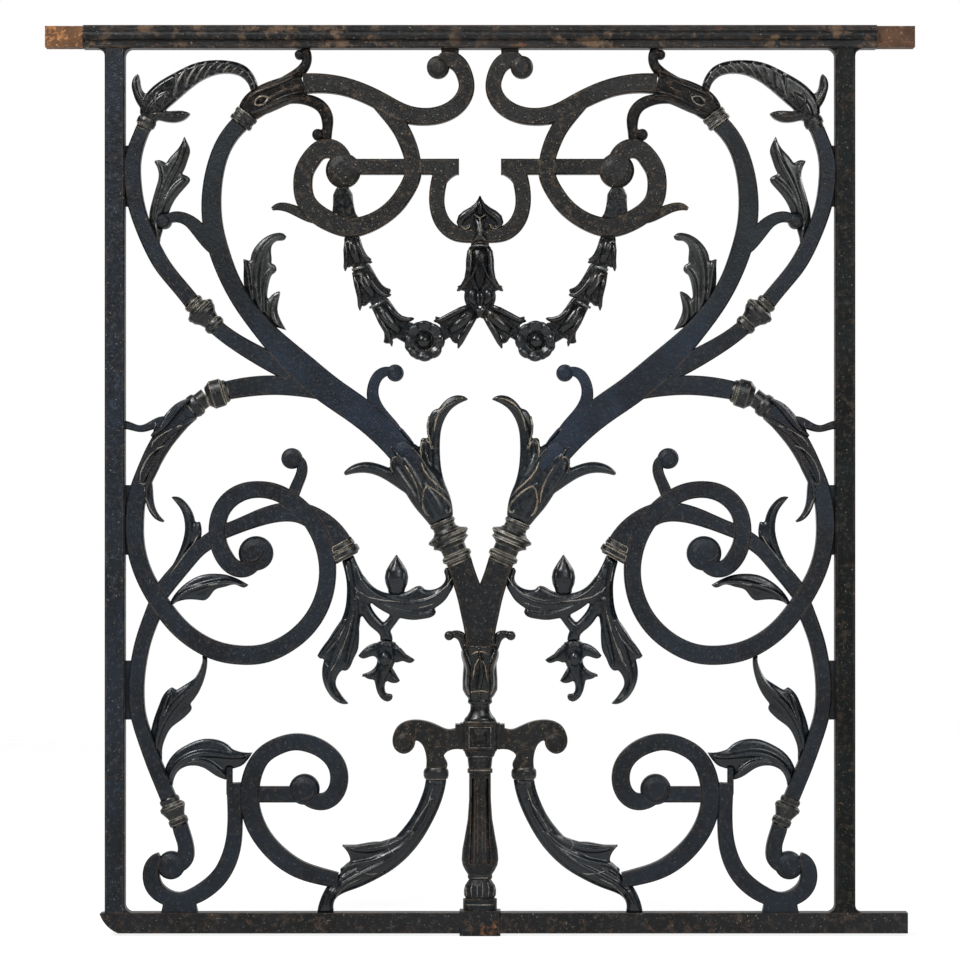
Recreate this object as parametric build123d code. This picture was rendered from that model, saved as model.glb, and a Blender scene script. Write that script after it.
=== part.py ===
from build123d import *
import os
from math import atan2, cos, hypot, pi, radians, sin

# Cast-iron balcony railing panel: a plain frame filled with scrollwork, leaves and garlands.
# Frame: X across the panel, Y through its thickness, +Z up. The origin is on the flat underside
# of the centre foot, on the panel's middle plane. All sizes are millimetres.

# Driving dimensions of the frame
panel_height = 911.0        # foot to top of the hand rail, 3 ft
panel_width = 751.0         # over the two stiles
rail_length = 870.0         # hand rail over its two joint ends
stile_width = 20.0
stile_depth = 20.0
hand_rail_height = 23.0
hand_rail_depth = 24.0
hand_rail_bead_radius = 5.0  # half-round bead along the rail's face
hand_rail_bead_drop = 10.5   # from the rail's top to the bead's centre
joint_end_length = 38.0      # plain ground ends, where the next panel laps
joint_end_inset = 1.0        # how far they stand back from the rail all round
base_rail_height = 20.5
base_rail_depth = 20.0
base_stub_reach = 428.0      # right end of the base rail, from the panel's centre
base_break_reach = 380.5     # point of the broken left end, from the panel's centre
corner_fillet = 8.0          # casting fillets where stiles meet the rails

# The centre foot under the baluster
foot_width = 41.0
foot_depth = 24.0
foot_drop = 2.5              # how far the foot stands below the base rail
foot_rise = 2.0              # and above it

# Scrollwork
scroll_depth = 16.0
scroll_bevel = 1.6           # soft edge of every scroll
knob_rise = 2.0              # how far the eye of a scroll stands proud of its face
least_piece = 120.0          # volume of a crumb that is too small to cast
leaf_edge_depth = 9.0        # a leaf is thinner at its edge
rib_depth = 16.0             # and as thick as a scroll along its ribs
collar_depth_share = 0.55    # turned collars are flattened front to back
collar_depth_least = 3.0
web_depth = 8.0              # thin webs cast between a scroll and its stile

# The ornament is set out on a full-size board, in millimetres: across from the board's left edge
# and down from its top edge. These are the board's lines that the frame has to fit.
BOARD_CENTRE = 480.0
BOARD_CLEAR_HALF = 355.5     # centre line to a stile's inner edge
BOARD_TOP = 48.0             # underside of the hand rail
BOARD_BASE = 913.0           # top of the base rail

base_top = foot_drop + base_rail_height
rail_bottom = panel_height - hand_rail_height
clear_half = panel_width / 2 - stile_width
stretch_across = clear_half / BOARD_CLEAR_HALF
stretch_up = (rail_bottom - base_top) / (BOARD_BASE - BOARD_TOP)


def at(across, down):
    """A place on the setting-out board as (x, z) in the panel."""
    return ((across - BOARD_CENTRE) * stretch_across, base_top + (BOARD_BASE - down) * stretch_up)


def side_slopes(points, lead=None, trail=None):
    """Unit tangent of a smooth line at each of its points; its two ends may be given on the board."""
    steps = [(b[0] - a[0], b[1] - a[1]) for a, b in zip(points, points[1:])]
    spans = [hypot(*step) for step in steps]
    units = [(sx / span, sz / span) for (sx, sz), span in zip(steps, spans)]
    inner = []
    for i in range(1, len(points) - 1):
        before, after = spans[i - 1], spans[i]
        inner.append(tuple((units[i - 1][k] * after + units[i][k] * before) / (before + after) for k in (0, 1)))
    first = tuple(2 * units[0][k] - inner[0][k] for k in (0, 1)) if inner else units[0]
    last = tuple(2 * units[-1][k] - inner[-1][k] for k in (0, 1)) if inner else units[-1]
    if lead:
        first = (lead[0] * stretch_across, -lead[1] * stretch_up)
    if trail:
        last = (trail[0] * stretch_across, -trail[1] * stretch_up)
    slopes = [first, *inner, last]
    return [(sx / hypot(sx, sz), sz / hypot(sx, sz)) for sx, sz in slopes]


def smooth_edge(points):
    return Line(*points) if len(points) == 2 else Spline(*points)


def band_wire(line, narrower, y, start, end, lead, trail):
    """Outline of a band along a line of (across, down, width), at depth y and narrower on each side."""
    middle = [at(across, down) for across, down, width in line]
    slopes = side_slopes(middle, lead, trail)
    least_share = 0.3
    halves = [max(width / 2 - narrower, least_share * width / 2) for across, down, width in line]
    left = [(x - sz * h, y, z + sx * h) for (x, z), (sx, sz), h in zip(middle, slopes, halves)]
    right = [(x + sz * h, y, z - sx * h) for (x, z), (sx, sz), h in zip(middle, slopes, halves)]

    def cap(kind, index, sign, a, b):
        if kind != "round":
            return Line(a, b)
        (x, z), (sx, sz), h = middle[index], slopes[index], halves[index]
        return ThreePointArc(a, (x + sign * sx * h, y, z + sign * sz * h), b)

    return Wire([
        smooth_edge(left),
        cap(end, -1, 1, left[-1], right[-1]),
        smooth_edge(right[::-1]),
        cap(start, 0, -1, right[0], left[0]),
    ])


def band(line, start="flat", end="flat", depth=None, bevel=None, rise=None, lead=None, trail=None):
    """A cast bar of changing width along a line, with a bevel on its front and back edges."""
    depth = scroll_depth if depth is None else depth
    bevel = scroll_bevel if bevel is None else bevel
    rise = bevel if rise is None else rise
    layers = [(bevel, -depth / 2), (0, rise - depth / 2), (0, depth / 2 - rise), (bevel, depth / 2)]
    return Solid.make_loft([band_wire(line, cut, y, start, end, lead, trail) for cut, y in layers], ruled=True)


def rib(line, depth=None):
    """A ridge with a roof-like section, along the middle of a leaf."""
    depth = rib_depth if depth is None else depth
    widest = max(width for across, down, width in line)
    return band(line, "round", "flat", depth, widest * 0.38, (depth - leaf_edge_depth) / 2 + 1)


def knob(across, down, radius, rise=None):
    """The raised eye at the end of a scroll."""
    rise = knob_rise if rise is None else rise
    x, z = at(across, down)
    rim = scroll_depth / 2 - scroll_bevel - 1.3
    crown = scroll_depth / 2 + 0.4 + rise
    shoulder = crown - 0.4 * (crown - rim)
    half = [(0, crown), (0.5 * radius, crown), (0.84 * radius, shoulder), (radius, rim)]
    profile = Polyline(*half, *[(r, -y) for r, y in reversed(half)], close=True)
    return Pos(x, 0, z) * revolve(make_face(profile), Axis.Y)


def plate(*runs, depth=None):
    """A flat leaf whose outline is smooth along each run and has a corner between runs."""
    depth = leaf_edge_depth if depth is None else depth
    runs = [[at(*point) for point in run] for run in runs]
    edges = [smooth_edge([(x, 0, z) for x, z in run]) for run in runs]
    return extrude(Face(Wire(edges)), amount=depth / 2, dir=(0, 1, 0), both=True)


def turned(profile, start, end, flat=None):
    """A moulded collar from start to end on the board: profile is (share of the length, radius)."""
    flat = collar_depth_share if flat is None else flat
    x0, z0 = at(*start)
    x1, z1 = at(*end)
    length = hypot(x1 - x0, z1 - z0)
    along = Vector((x1 - x0) / length, 0, (z1 - z0) / length)
    rings = []
    for share, radius in profile:
        seat = Plane(Vector(x0, 0, z0) + along * (share * length), x_dir=(along.Z, 0, -along.X), z_dir=along)
        deep = flat * radius + collar_depth_least
        rings.append(Wire(Edge.make_ellipse(radius, deep, seat)))
    return Solid.make_loft(rings, ruled=True)


def joined(*shapes):
    """One solid from shapes that grow into each other."""
    whole = shapes[0]
    for shape in shapes[1:]:
        whole = whole + shape
    return whole


def solids_of(shape):
    return [solid for solid in shape.solids() if solid.volume > least_piece]


# Where each collar sits on the board: its first and its last face.
seats = {
    "arm": ((441.5, 521), (459.5, 563)),
    "scroll_top": ((247.5, 112), (238.5, 124)),
    "branch": ((190.5, 300.5), (217, 328)),
    "horn": ((142, 129), (147.5, 117.5)),
    "side_first": ((228, 390), (206, 396.5)),
    "side_second": ((206, 396.5), (190, 409)),
    "tendril": ((339, 543.5), (347, 558.5)),
    "stem": ((167.5, 798), (179.5, 826.5)),
    "crossarm": ((436, 768.5), (436, 780)),
}


def towards(name):
    """Direction of a collar's axis on the board, from its first face to its last."""
    (x0, y0), (x1, y1) = seats[name]
    return (x1 - x0, y1 - y0)


def away(name):
    """The same axis the other way."""
    return tuple(-v for v in towards(name))


def mirrored(shape):
    return mirror(shape, about=Plane.YZ)


# Names of what is made, each with its solids. A piece gives way to those it is fitted to.
made = {}


def fitted(shape, *names):
    """The shape with what it would share with earlier pieces cut away, so that they meet face to face."""
    for name in names:
        for solid in made[name]:
            shape = shape - solid
    return shape


def keep(name, *shapes):
    made[name] = [solid for shape in shapes for solid in solids_of(shape)]


def keep_pair(name, shape):
    """A left-hand piece and its mirror image, as two nodes."""
    keep("left_" + name, shape)
    keep("right_" + name, mirrored(shape))


# Frame.
def hand_rail():
    """Flat rail with a half-round bead along each face."""
    moulded = rail_length - 2 * joint_end_length
    bead_z = panel_height - hand_rail_bead_drop
    rail = Pos(0, 0, rail_bottom + hand_rail_height / 2) * Box(moulded, hand_rail_depth, hand_rail_height)
    rail = chamfer(rail.edges().filter_by(Axis.X), scroll_bevel)
    for side in (-1, 1):
        bead = Pos(0, side * hand_rail_depth / 2, bead_z) * Rot(0, 90, 0) * Cylinder(hand_rail_bead_radius, moulded)
        rail = rail + bead
    return rail


def rail_end():
    """Plain ground end of the hand rail, left-hand side."""
    x = -(rail_length - joint_end_length) / 2
    return Pos(x, 0, rail_bottom + hand_rail_height / 2) * Box(
        joint_end_length, hand_rail_depth - 2 * joint_end_inset, hand_rail_height - 2 * joint_end_inset)


def stile(outer_foot):
    """Left upright with its casting fillets; the one outside at its foot is there if the base rail runs on."""
    x = -panel_width / 2 + stile_width / 2
    height = rail_bottom - base_top
    bar = Pos(x, 0, base_top + height / 2) * Box(stile_width, stile_depth, height)
    bar = chamfer(bar.edges().filter_by(Axis.Z), scroll_bevel)
    for side in (-1, 1):
        for z, up in ((rail_bottom, -1), (base_top, 1)):
            if side == -1 and up == 1 and not outer_foot:
                continue
            edge = x + side * stile_width / 2
            inner = edge - side * scroll_bevel
            outline = Wire([
                Line((inner, 0, z), (edge + side * corner_fillet, 0, z)),
                ThreePointArc(
                    (edge + side * corner_fillet, 0, z),
                    (edge + side * corner_fillet * (1 - sin(pi / 4)), 0, z + up * corner_fillet * (1 - cos(pi / 4))),
                    (edge, 0, z + up * corner_fillet)),
                Line((edge, 0, z + up * corner_fillet), (inner, 0, z + up * corner_fillet)),
                Line((inner, 0, z + up * corner_fillet), (inner, 0, z)),
            ])
            bar = bar + extrude(Face(outline), amount=stile_depth / 2 - scroll_bevel, dir=(0, 1, 0), both=True)
    return bar


def base_rail():
    """Bottom rail: a broken corner on the left, a stub past the stile on the right."""
    left = -base_break_reach
    corner = left + base_rail_height * 0.9
    outline = Wire([
        Line((left, 0, base_top - 1), (left + 5, 0, base_top)),
        Line((left + 5, 0, base_top), (base_stub_reach, 0, base_top)),
        Line((base_stub_reach, 0, base_top), (base_stub_reach, 0, foot_drop)),
        Line((base_stub_reach, 0, foot_drop), (corner, 0, foot_drop)),
        Spline((corner, 0, foot_drop), (left + 10, 0, foot_drop + 5), (left, 0, base_top - 1)),
    ])
    return extrude(Face(outline), amount=base_rail_depth / 2, dir=(0, 1, 0), both=True)


def foot():
    height = foot_drop + base_rail_height + foot_rise
    block = Pos(0, 0, height / 2) * Box(foot_width, foot_depth, height)
    return chamfer(block.edges().filter_by(Axis.Z), scroll_bevel)


keep("hand_rail", hand_rail())
keep("rail_ends", rail_end(), mirrored(rail_end()))
keep("centre_foot", foot())
keep("base_rail", fitted(base_rail(), "centre_foot"))
keep("left_stile", stile(False))
keep("right_stile", mirrored(stile(True)))


# Centre column.
def column(profile, flat=None):
    """A turned length of the centre column: profile is (board height, radius) from the foot up."""
    low, high = profile[0][0], profile[-1][0]
    shares = [((low - down) / (low - high), radius) for down, radius in profile]
    return turned(shares, (BOARD_CENTRE, low), (BOARD_CENTRE, high), flat)


foot_top_down = BOARD_BASE - foot_rise

baluster_profile = [
    (foot_top_down, 17), (899.5, 17), (898.8, 14.5), (896, 16), (891, 16.2), (886, 15), (882, 12.2), (880, 11),
    (879.2, 12.2), (876.5, 12.4), (875.5, 12), (871, 15), (866, 17.5), (860, 18.5), (850, 17.7), (840, 15.8),
    (820, 12.4), (800, 11), (774, 10.9), (773.2, 12.6), (769.5, 12.6), (768.8, 11.4), (758, 12.6), (757, 14),
    (753, 15.6), (751, 16.2),
]
flute_spacing = 6.8
flute_width = 3.4
flute_depth = 2.2
flute_top, flute_foot = 780.0, 862.0


def baluster():
    """Vase-shaped baluster with three round-ended flutes on each face."""
    body = column(baluster_profile)
    core = column([(down, radius - flute_depth) for down, radius in baluster_profile[12:19]])
    for place in (-1, 0, 1):
        low = BOARD_CENTRE + place * flute_spacing * 1.25
        high = BOARD_CENTRE + place * flute_spacing
        flute = band([(high, flute_top, flute_width), (high, 800, flute_width), (low, flute_foot, flute_width * 1.25)],
                     "round", "round", depth=40, bevel=0.2)
        body = body - (flute - core)
    return body


keep("baluster", baluster())
boss_low, boss_high = 751.0, 722.0
boss_half = 16.8
boss_depth = 26.0


def boss():
    """Square boss with a raised frame and a cut-stone centre on both faces."""
    x, low = at(BOARD_CENTRE, boss_low)
    high = at(BOARD_CENTRE, boss_high)[1]
    middle = (low + high) / 2
    block = Pos(0, 0, middle) * Box(2 * boss_half, boss_depth, high - low)
    block = chamfer(block.edges().group_by(Axis.Y)[-1] + block.edges().group_by(Axis.Y)[0], scroll_bevel)
    recess_half, recess_deep = 10.5, 2.0
    for side in (-1, 1):
        face = side * boss_depth / 2
        pocket = Pos(0, face, middle) * Box(2 * recess_half, 2 * recess_deep, 2 * recess_half)
        block = block - pocket
        stone = loft([
            Plane((0, face - side * (recess_deep + 0.5), middle), x_dir=(1, 0, 0), z_dir=(0, side, 0)) * Rectangle(16, 16),
            Plane((0, face + side * 1.5, middle), x_dir=(1, 0, 0), z_dir=(0, side, 0)) * Rectangle(4, 4),
        ])
        block = block + stone
    for side in (-1, 1):
        for reach, half_height, deep in ((3.0, 13.0, 21.0), (6.0, 11.0, 18.0), (8.0, 12.0, 20.0)):
            moulding = Pos(side * (boss_half + reach / 2), 0, middle) * Box(reach, deep, 2 * half_height)
            block = block + moulding
    return block


keep("boss", boss())
socket_top_down = 646.0


def socket():
    """Leafy vase above the boss, with a leaf down its middle and one at each side."""
    vase = column([
        (boss_high, 16.2), (719, 15.6), (716, 12.6), (711, 10), (704.5, 9.6), (703.8, 12.2), (701, 12.4), (699.8, 11),
        (696, 14.4), (690, 17.6), (680, 17.6), (668, 16.8), (655, 17.2), (socket_top_down, 18.4),
    ])
    side_leaf = rib([(470, 694, 3), (468, 682, 8), (468.5, 668, 8), (464, 655, 6), (463, 650, 3)], depth=26)
    return joined(
        vase, side_leaf, mirrored(side_leaf),
        rib([(480, 697, 4), (479.5, 684, 11), (482, 670, 11), (480, 657, 7), (479, 649, 3)], depth=31))


keep("socket", socket())


def fork():
    """The stem of the column parting into its two arms."""
    left = band([(480, 652, 33), (479, 632, 29), (475.5, 614, 29), (471, 598, 27), (466, 583, 25.5), (459.5, 563, 25.4)])
    foot_z = at(BOARD_CENTRE, socket_top_down)[1]
    below = Pos(0, 0, foot_z - 20) * Box(80, 40, 40)
    return left + mirrored(left) - below


# The collars stand between the bars they join, so they come first.
flange = [(0, 12.5), (0.06, 13.3), (0.12, 11.4), (0.2, 11.8), (0.27, 14.5), (0.33, 20.5), (0.38, 21.5), (0.46, 17.5),
          (0.52, 19), (0.57, 15), (0.62, 12.6), (0.76, 12.4), (0.8, 15), (0.88, 15.2), (0.92, 13), (1, 12.7)]
collars = {
    "arm": flange,
    "scroll_top": [(0, 10.6), (0.08, 12.4), (0.3, 12.6), (0.4, 11.6), (0.6, 11.6), (0.7, 12.6), (0.92, 12.2), (1, 8.6)],
    "branch": [(0, 8.5), (0.05, 10.3), (0.13, 10.3), (0.18, 9), (0.25, 12), (0.29, 15), (0.37, 15.8), (0.43, 14.4),
               (0.5, 14), (0.62, 10.6), (0.76, 8.8), (0.82, 10.6), (0.92, 10.6), (1, 8.3)],
    "horn": [(0, 7.5), (0.3, 8), (0.4, 9.6), (0.75, 10), (1, 9)],
    "side_first": [(0, 9.3), (0.1, 11.4), (0.2, 11.6), (0.28, 14), (0.75, 14.4), (0.86, 12), (1, 9.5)],
    "side_second": [(0, 9.5), (0.2, 9.4), (0.45, 9.4), (0.55, 11.6), (0.8, 12), (1, 10.4)],
    "stem": [(0, 8.2), (0.06, 10.2), (0.15, 10.4), (0.22, 9.6), (0.3, 12.8), (0.4, 13.2), (0.46, 12), (0.66, 9),
             (0.72, 8.6), (0.78, 10), (0.92, 10), (1, 8)],
    "crossarm": [(0, 10.4), (0.12, 11.8), (0.3, 12.6), (0.7, 12.6), (0.88, 11.8), (1, 10.6)],
}
left_collars = [turned(profile, *seats[name]) for name, profile in collars.items()]
keep("collars", *left_collars, *[mirrored(collar) for collar in left_collars])

keep("fork", fitted(fork(), "collars"))


def socket_curls():
    curl = joined(
        band([(468, 650, 11), (464.5, 642, 11), (459, 635.5, 9), (453.5, 634.5, 7), (449, 636, 5)], depth=12),
        knob(449, 636, 4.8, 0))
    return curl


keep("socket_curls", fitted(socket_curls(), "socket", "fork"), mirrored(fitted(socket_curls(), "socket", "fork")))

# Upper scrollwork.


def main_scroll():
    stem = band([
        (238.5, 124, 17.5), (230.5, 133, 17), (222.5, 146, 17), (216.5, 162, 17.5), (212.3, 182, 18.5), (210.8, 203, 19.5),
        (212.5, 226, 20), (219, 252, 20), (229, 278, 19), (241, 300, 19), (257, 322, 20), (276, 343, 24), (301, 367, 29),
        (330, 391, 29.5), (360, 412, 29), (385, 434, 27.5), (404, 455, 26.5), (412, 465, 26),
    ], lead=towards("scroll_top"))
    link = joined(
        band([(215, 250, 12), (205, 238, 15), (196, 227, 14.5), (186, 219, 12), (175, 216.3, 10.5), (165.5, 220, 9)]),
        knob(163.5, 221, 7.6))
    curl = joined(
        band([(396, 432, 13), (385, 420, 15), (377, 409, 14), (372.5, 395, 12), (374, 383, 11), (380.5, 373.5, 10.5), (388, 371, 9), (395, 373.5, 7)], depth=14),
        knob(395, 372.8, 8.6, 1))
    return joined(stem, link, curl)


def outer_branch():
    lower = band([(217, 328, 16), (230, 338, 16.5), (250, 350.5, 18), (270, 361.5, 19.5), (290, 372, 19)],
                 lead=towards("branch"))
    upper = band([
        (190.5, 300.5, 16.5), (177, 284, 16), (162, 265, 16.5), (150, 243, 16.5), (141, 222, 16), (135, 202, 16.5),
        (131.8, 180, 17), (132, 160, 16.5), (136.5, 143, 14.5), (142, 129, 14),
    ], lead=away("branch"), trail=towards("horn"))
    web = band([(128, 145, 9), (128, 175, 9), (128, 206, 9)], depth=web_depth, bevel=0.5)
    return lower, joined(upper, web)


def top_scroll():
    return joined(
        band([
            (303, 83, 20), (320, 82.5, 19), (345, 86, 18), (365, 93, 18), (385, 103, 18), (405, 113, 18), (425, 116, 17),
            (440, 114, 17), (453, 108, 17), (462, 99, 16.5), (466.5, 87, 16), (464.5, 74, 16), (457.5, 62.5, 16.5),
            (448.5, 58.5, 17), (440, 64, 12),
        ]),
        band([(450, 62, 13), (450, 56, 16), (450, 46, 18)], depth=12),
        knob(438, 66.5, 11.3))


def ring_scroll():
    return joined(
        band([
            (375, 100, 12), (391, 115, 17), (401, 129, 17), (408, 144, 17), (412.5, 160, 16.5), (412.5, 175, 17),
            (406, 190, 17), (396, 204, 17), (382, 216, 17), (366, 224, 18), (350, 227, 19.5), (333, 222.5, 20),
            (317, 213.5, 20), (306, 201, 19.5), (302.5, 185, 19), (304.5, 170, 19), (312, 157, 19), (322, 148.5, 19),
            (334, 149.5, 19), (341.5, 159, 20), (343, 169, 20),
        ]),
        knob(343, 170, 17.5),
        band([(314, 218, 10), (304, 214, 11), (295, 210, 10), (287, 207, 9), (279, 206, 7.5), (271.5, 208.5, 3)], depth=10))


left_stem = fitted(main_scroll(), "collars")
keep_pair("main_scroll", left_stem)
branch_lower, branch_upper = outer_branch()
branch_lower = fitted(branch_lower, "left_main_scroll", "collars")
branch_upper = fitted(branch_upper, "left_stile", "left_main_scroll", "collars")
keep_pair("outer_branch", Compound(solids_of(branch_lower) + solids_of(branch_upper)))


def beast_head():
    """Head with an eye, an upper lip that curls up to the hand rail and a lower lip that curls down."""
    head = band([(247.5, 112, 22), (256, 103, 27), (270, 95, 27.5), (284, 89.5, 26), (303, 83, 20)], depth=20, bevel=5,
                rise=4, lead=away("scroll_top"))
    upper = joined(
        band([(276, 84, 7), (288, 77.5, 9), (298, 72, 10.5), (304.5, 65, 10), (307, 56.5, 9), (303, 47, 9)], depth=13, bevel=2.5),
        band([(306, 59, 7), (302.5, 55, 6), (299, 54, 5)], depth=10),
        knob(299, 54, 4.8, 0))
    lower = joined(
        band([(278, 101.5, 7), (288, 98.5, 9), (300, 98, 10), (312, 100.5, 11.5), (322, 107, 12), (327, 118, 12), (327, 130, 10),
              (326.5, 142, 10)], depth=13, bevel=2.5),
        band([(327, 128, 8), (322, 133, 7), (318, 134, 6)], depth=11),
        knob(317.5, 134, 5.8, 0))
    return joined(
        head, upper, lower,
        knob(260.5, 100, 4.2, 3),
        rib([(248, 99, 5), (256, 91.5, 7), (270, 85.5, 8), (286, 78.5, 8), (299, 71, 3)], depth=23),
        rib([(252, 114, 4), (264, 110, 7), (278, 103.5, 8), (292, 98.5, 7), (306, 99, 3)], depth=23),
        rib([(266, 101, 4), (278, 95, 7), (291, 89.5, 6), (301, 86, 3)], depth=22))


keep_pair("top_scroll", fitted(top_scroll(), "hand_rail"))
keep_pair("ring_scroll", fitted(ring_scroll(), "left_top_scroll"))
left_head = fitted(beast_head(), "hand_rail", "left_top_scroll", "left_ring_scroll", "collars", "left_main_scroll")
keep("beast_heads", left_head, mirrored(left_head))


# The twist of the horns: how many ridges, over which share of the length, and how far each one leans.
twist_ribs = 9
twist_from, twist_to = 0.26, 0.86
twist_lean = 0.10


def beside(line, share, aside):
    """A point at a share of a line's length and at a share of its width to one side, on the board."""
    spans = [hypot(b[0] - a[0], b[1] - a[1]) for a, b in zip(line, line[1:])]
    left = share * sum(spans)
    for (xa, ya, wa), (xb, yb, wb), span in zip(line, line[1:], spans):
        if left <= span:
            break
        left -= span
    t = min(left / span, 1)
    width = wa + (wb - wa) * t
    ux, uy = (xb - xa) / span, (yb - ya) / span
    return (xa + (xb - xa) * t + uy * aside * width, ya + (yb - ya) * t - ux * aside * width)


def horn():
    """Twisted horn rising out of a two-leaved cup."""
    line = [
        (147.5, 117.5, 18), (152, 106, 24), (164, 93, 26), (180, 81.5, 22.5), (198, 71, 18.5), (215, 66.5, 14.5),
        (230, 66.5, 12.5), (242.5, 70.5, 11.5), (250.5, 79, 9.5), (254, 90, 8),
    ]
    tube = band(line, depth=18, bevel=3.5, rise=4, lead=towards("horn"))
    twist = None
    for i in range(twist_ribs):
        share = twist_from + (twist_to - twist_from) * i / (twist_ribs - 1)
        ahead = share + twist_lean
        left = beside(line, ahead, 0.46)
        right = beside(line, share, -0.46)
        middle = beside(line, (share + ahead) / 2, 0)
        width = 3.1 * (1 - 0.45 * share)
        ridge = band([(*left, width * 0.5), (*middle, width), (*right, width * 0.5)], depth=20.5 - 4 * share, bevel=0.8)
        twist = ridge if twist is None else twist + ridge
    left_lip = plate(
        [(147, 112), (139, 105), (133, 94), (131, 84), (133, 77), (137.5, 73)],
        [(137.5, 73), (139.5, 80), (141, 88), (146, 94), (152, 97)],
        [(152, 97), (147, 112)], depth=12)
    right_lip = plate(
        [(152, 100), (158, 109), (168, 110.5), (178, 110), (190, 113)],
        [(190, 113), (182, 120), (172, 122), (160, 120), (150, 118)],
        [(150, 118), (152, 100)], depth=12)
    return joined(
        tube, *twist.solids(), left_lip, right_lip,
        rib([(149, 116, 8), (153, 106, 14), (160, 98, 12), (167, 93, 3)], depth=22),
        rib([(150, 114, 5), (142, 104, 8), (136, 92, 7), (135, 80, 2)], depth=17),
        rib([(151, 115, 5), (160, 114.5, 7), (172, 116, 6), (184, 114.5, 2)], depth=17))


left_horn = fitted(horn(), "collars", "beast_heads", "left_main_scroll")
keep("horns", left_horn, mirrored(left_horn))


def fret():
    """Straight tie from the ring's eye, and the lyre-shaped bracket it carries."""
    tie = band([(350, 166.2, 15.5), (380, 166.2, 15.5), (459, 166.2, 15.8)])
    lyre = band([(442, 168, 15), (438.5, 183, 16), (436.7, 200, 15.5), (439, 214, 15.5), (446, 226, 15.5), (456, 233, 15),
                 (468, 235.3, 14), (480, 235.5, 13.6)])
    corner = plate([(442, 170), (458, 170)], [(458, 170), (458, 173.5)], [(458, 173.5), (450, 178.5), (444, 188)],
                   [(444, 188), (442, 170)], depth=scroll_depth - 0.6)
    return joined(tie, lyre, corner)


left_fret = fitted(fret(), "left_ring_scroll")
keep("fret_bracket", left_fret + mirrored(left_fret))

# Garlands.


def husk(root, tip, root_width, waist, mouth):
    """A bell-shaped husk, opening from root to tip, with two turned-out points and a middle lobe."""
    (rx, ry), (tx, ty) = root, tip
    length = hypot(tx - rx, ty - ry)
    ux, uy = (tx - rx) / length, (ty - ry) / length

    def spot(along, aside):
        return (rx + ux * along * length + uy * aside, ry + uy * along * length - ux * aside)

    bell = turned([(0, root_width * 0.36), (0.07, root_width * 0.48), (0.22, waist * 0.5), (0.6, waist * 0.5 + 0.6),
                   (0.88, waist * 0.5 + 2), (1, waist * 0.36)], root, tip)
    petals = [
        plate(
            [spot(0.25, side * (waist / 2 - 3)), spot(0.55, side * (waist / 2 + 0.6)), spot(0.78, side * (waist / 2 + 2.5)),
             spot(0.93, side * mouth / 2)],
            [spot(0.93, side * mouth / 2), spot(1.02, side * (mouth / 2 - 4)), spot(0.97, side * (waist / 2 - 3))],
            [spot(0.97, side * (waist / 2 - 3)), spot(0.25, side * (waist / 2 - 3))], depth=11)
        for side in (-1, 1)]
    lobe = rib([(*spot(0.05, 0), root_width * 0.3), (*spot(0.4, 0), waist * 0.42), (*spot(0.85, 0), waist * 0.5),
                (*spot(1.14, 0), 2)], depth=waist * 0.55 + 10)
    return joined(bell, *petals, lobe)


def festoon():
    """Chain of husks that hangs from the ring and swings up to the centre drop."""
    return joined(
        husk((350.5, 234), (358, 264), 16, 17, 29),
        husk((357.5, 261), (376, 299), 15, 20, 36),
        husk((374.5, 295), (400, 335), 15, 20, 36),
        band([(388, 320, 12), (400, 331, 15), (414, 338, 15)], depth=12),
        husk((471, 309.5), (445, 331), 15, 20, 36),
        band([(460, 320, 12), (446, 331, 14), (433, 338, 15)], depth=12))


rosette_radius = 20.0
rosette_petals = 8


def rosette():
    """Small flower: petals round a domed boss."""
    x, z = at(423.5, 340.5)
    petal_reach = rosette_radius * 0.66
    disc = Rot(90, 0, 0) * Cylinder(rosette_radius * 0.62, scroll_depth)
    for i in range(rosette_petals):
        turn = radians(360 / rosette_petals * (i + 0.5))
        petal = Pos(petal_reach * cos(turn), 0, petal_reach * sin(turn)) * Rot(90, 0, 0) * Cylinder(rosette_radius * 0.34, scroll_depth - 3)
        disc = disc + petal
    for side in (-1, 1):
        disc = disc - Pos(0, side * scroll_depth / 2, 0) * Rot(90, 0, 0) * Cylinder(rosette_radius * 0.5, 4)
        disc = disc + Pos(0, side * (scroll_depth / 2 - 3), 0) * Sphere(rosette_radius * 0.4)
    return Pos(x, 0, z) * disc


def centre_drop():
    """Large bell flower under the lyre, with the bud that parts the two garlands."""
    neck = column([(251, 12), (247, 11.5), (245.5, 9), (241, 9.5)])
    bell = husk((480, 245.5), (480, 289), 22, 26, 46)
    bud = joined(
        band([(480, 284, 14), (472.5, 296, 17), (475.5, 308, 12)], depth=14, bevel=3),
        band([(480, 284, 14), (487.5, 296, 17), (484.5, 308, 12)], depth=14, bevel=3))
    return joined(bell, bud, neck)


keep("rosettes", rosette(), mirrored(rosette()))
keep("centre_drop", fitted(centre_drop(), "fret_bracket"))
left_festoon = fitted(festoon(), "rosettes", "centre_drop", "left_ring_scroll")
inner_husk = fitted(husk((342, 186), (344, 222), 15, 20, 36), "left_ring_scroll")
keep("festoons", left_festoon, mirrored(left_festoon), inner_husk, mirrored(inner_husk))


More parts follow.
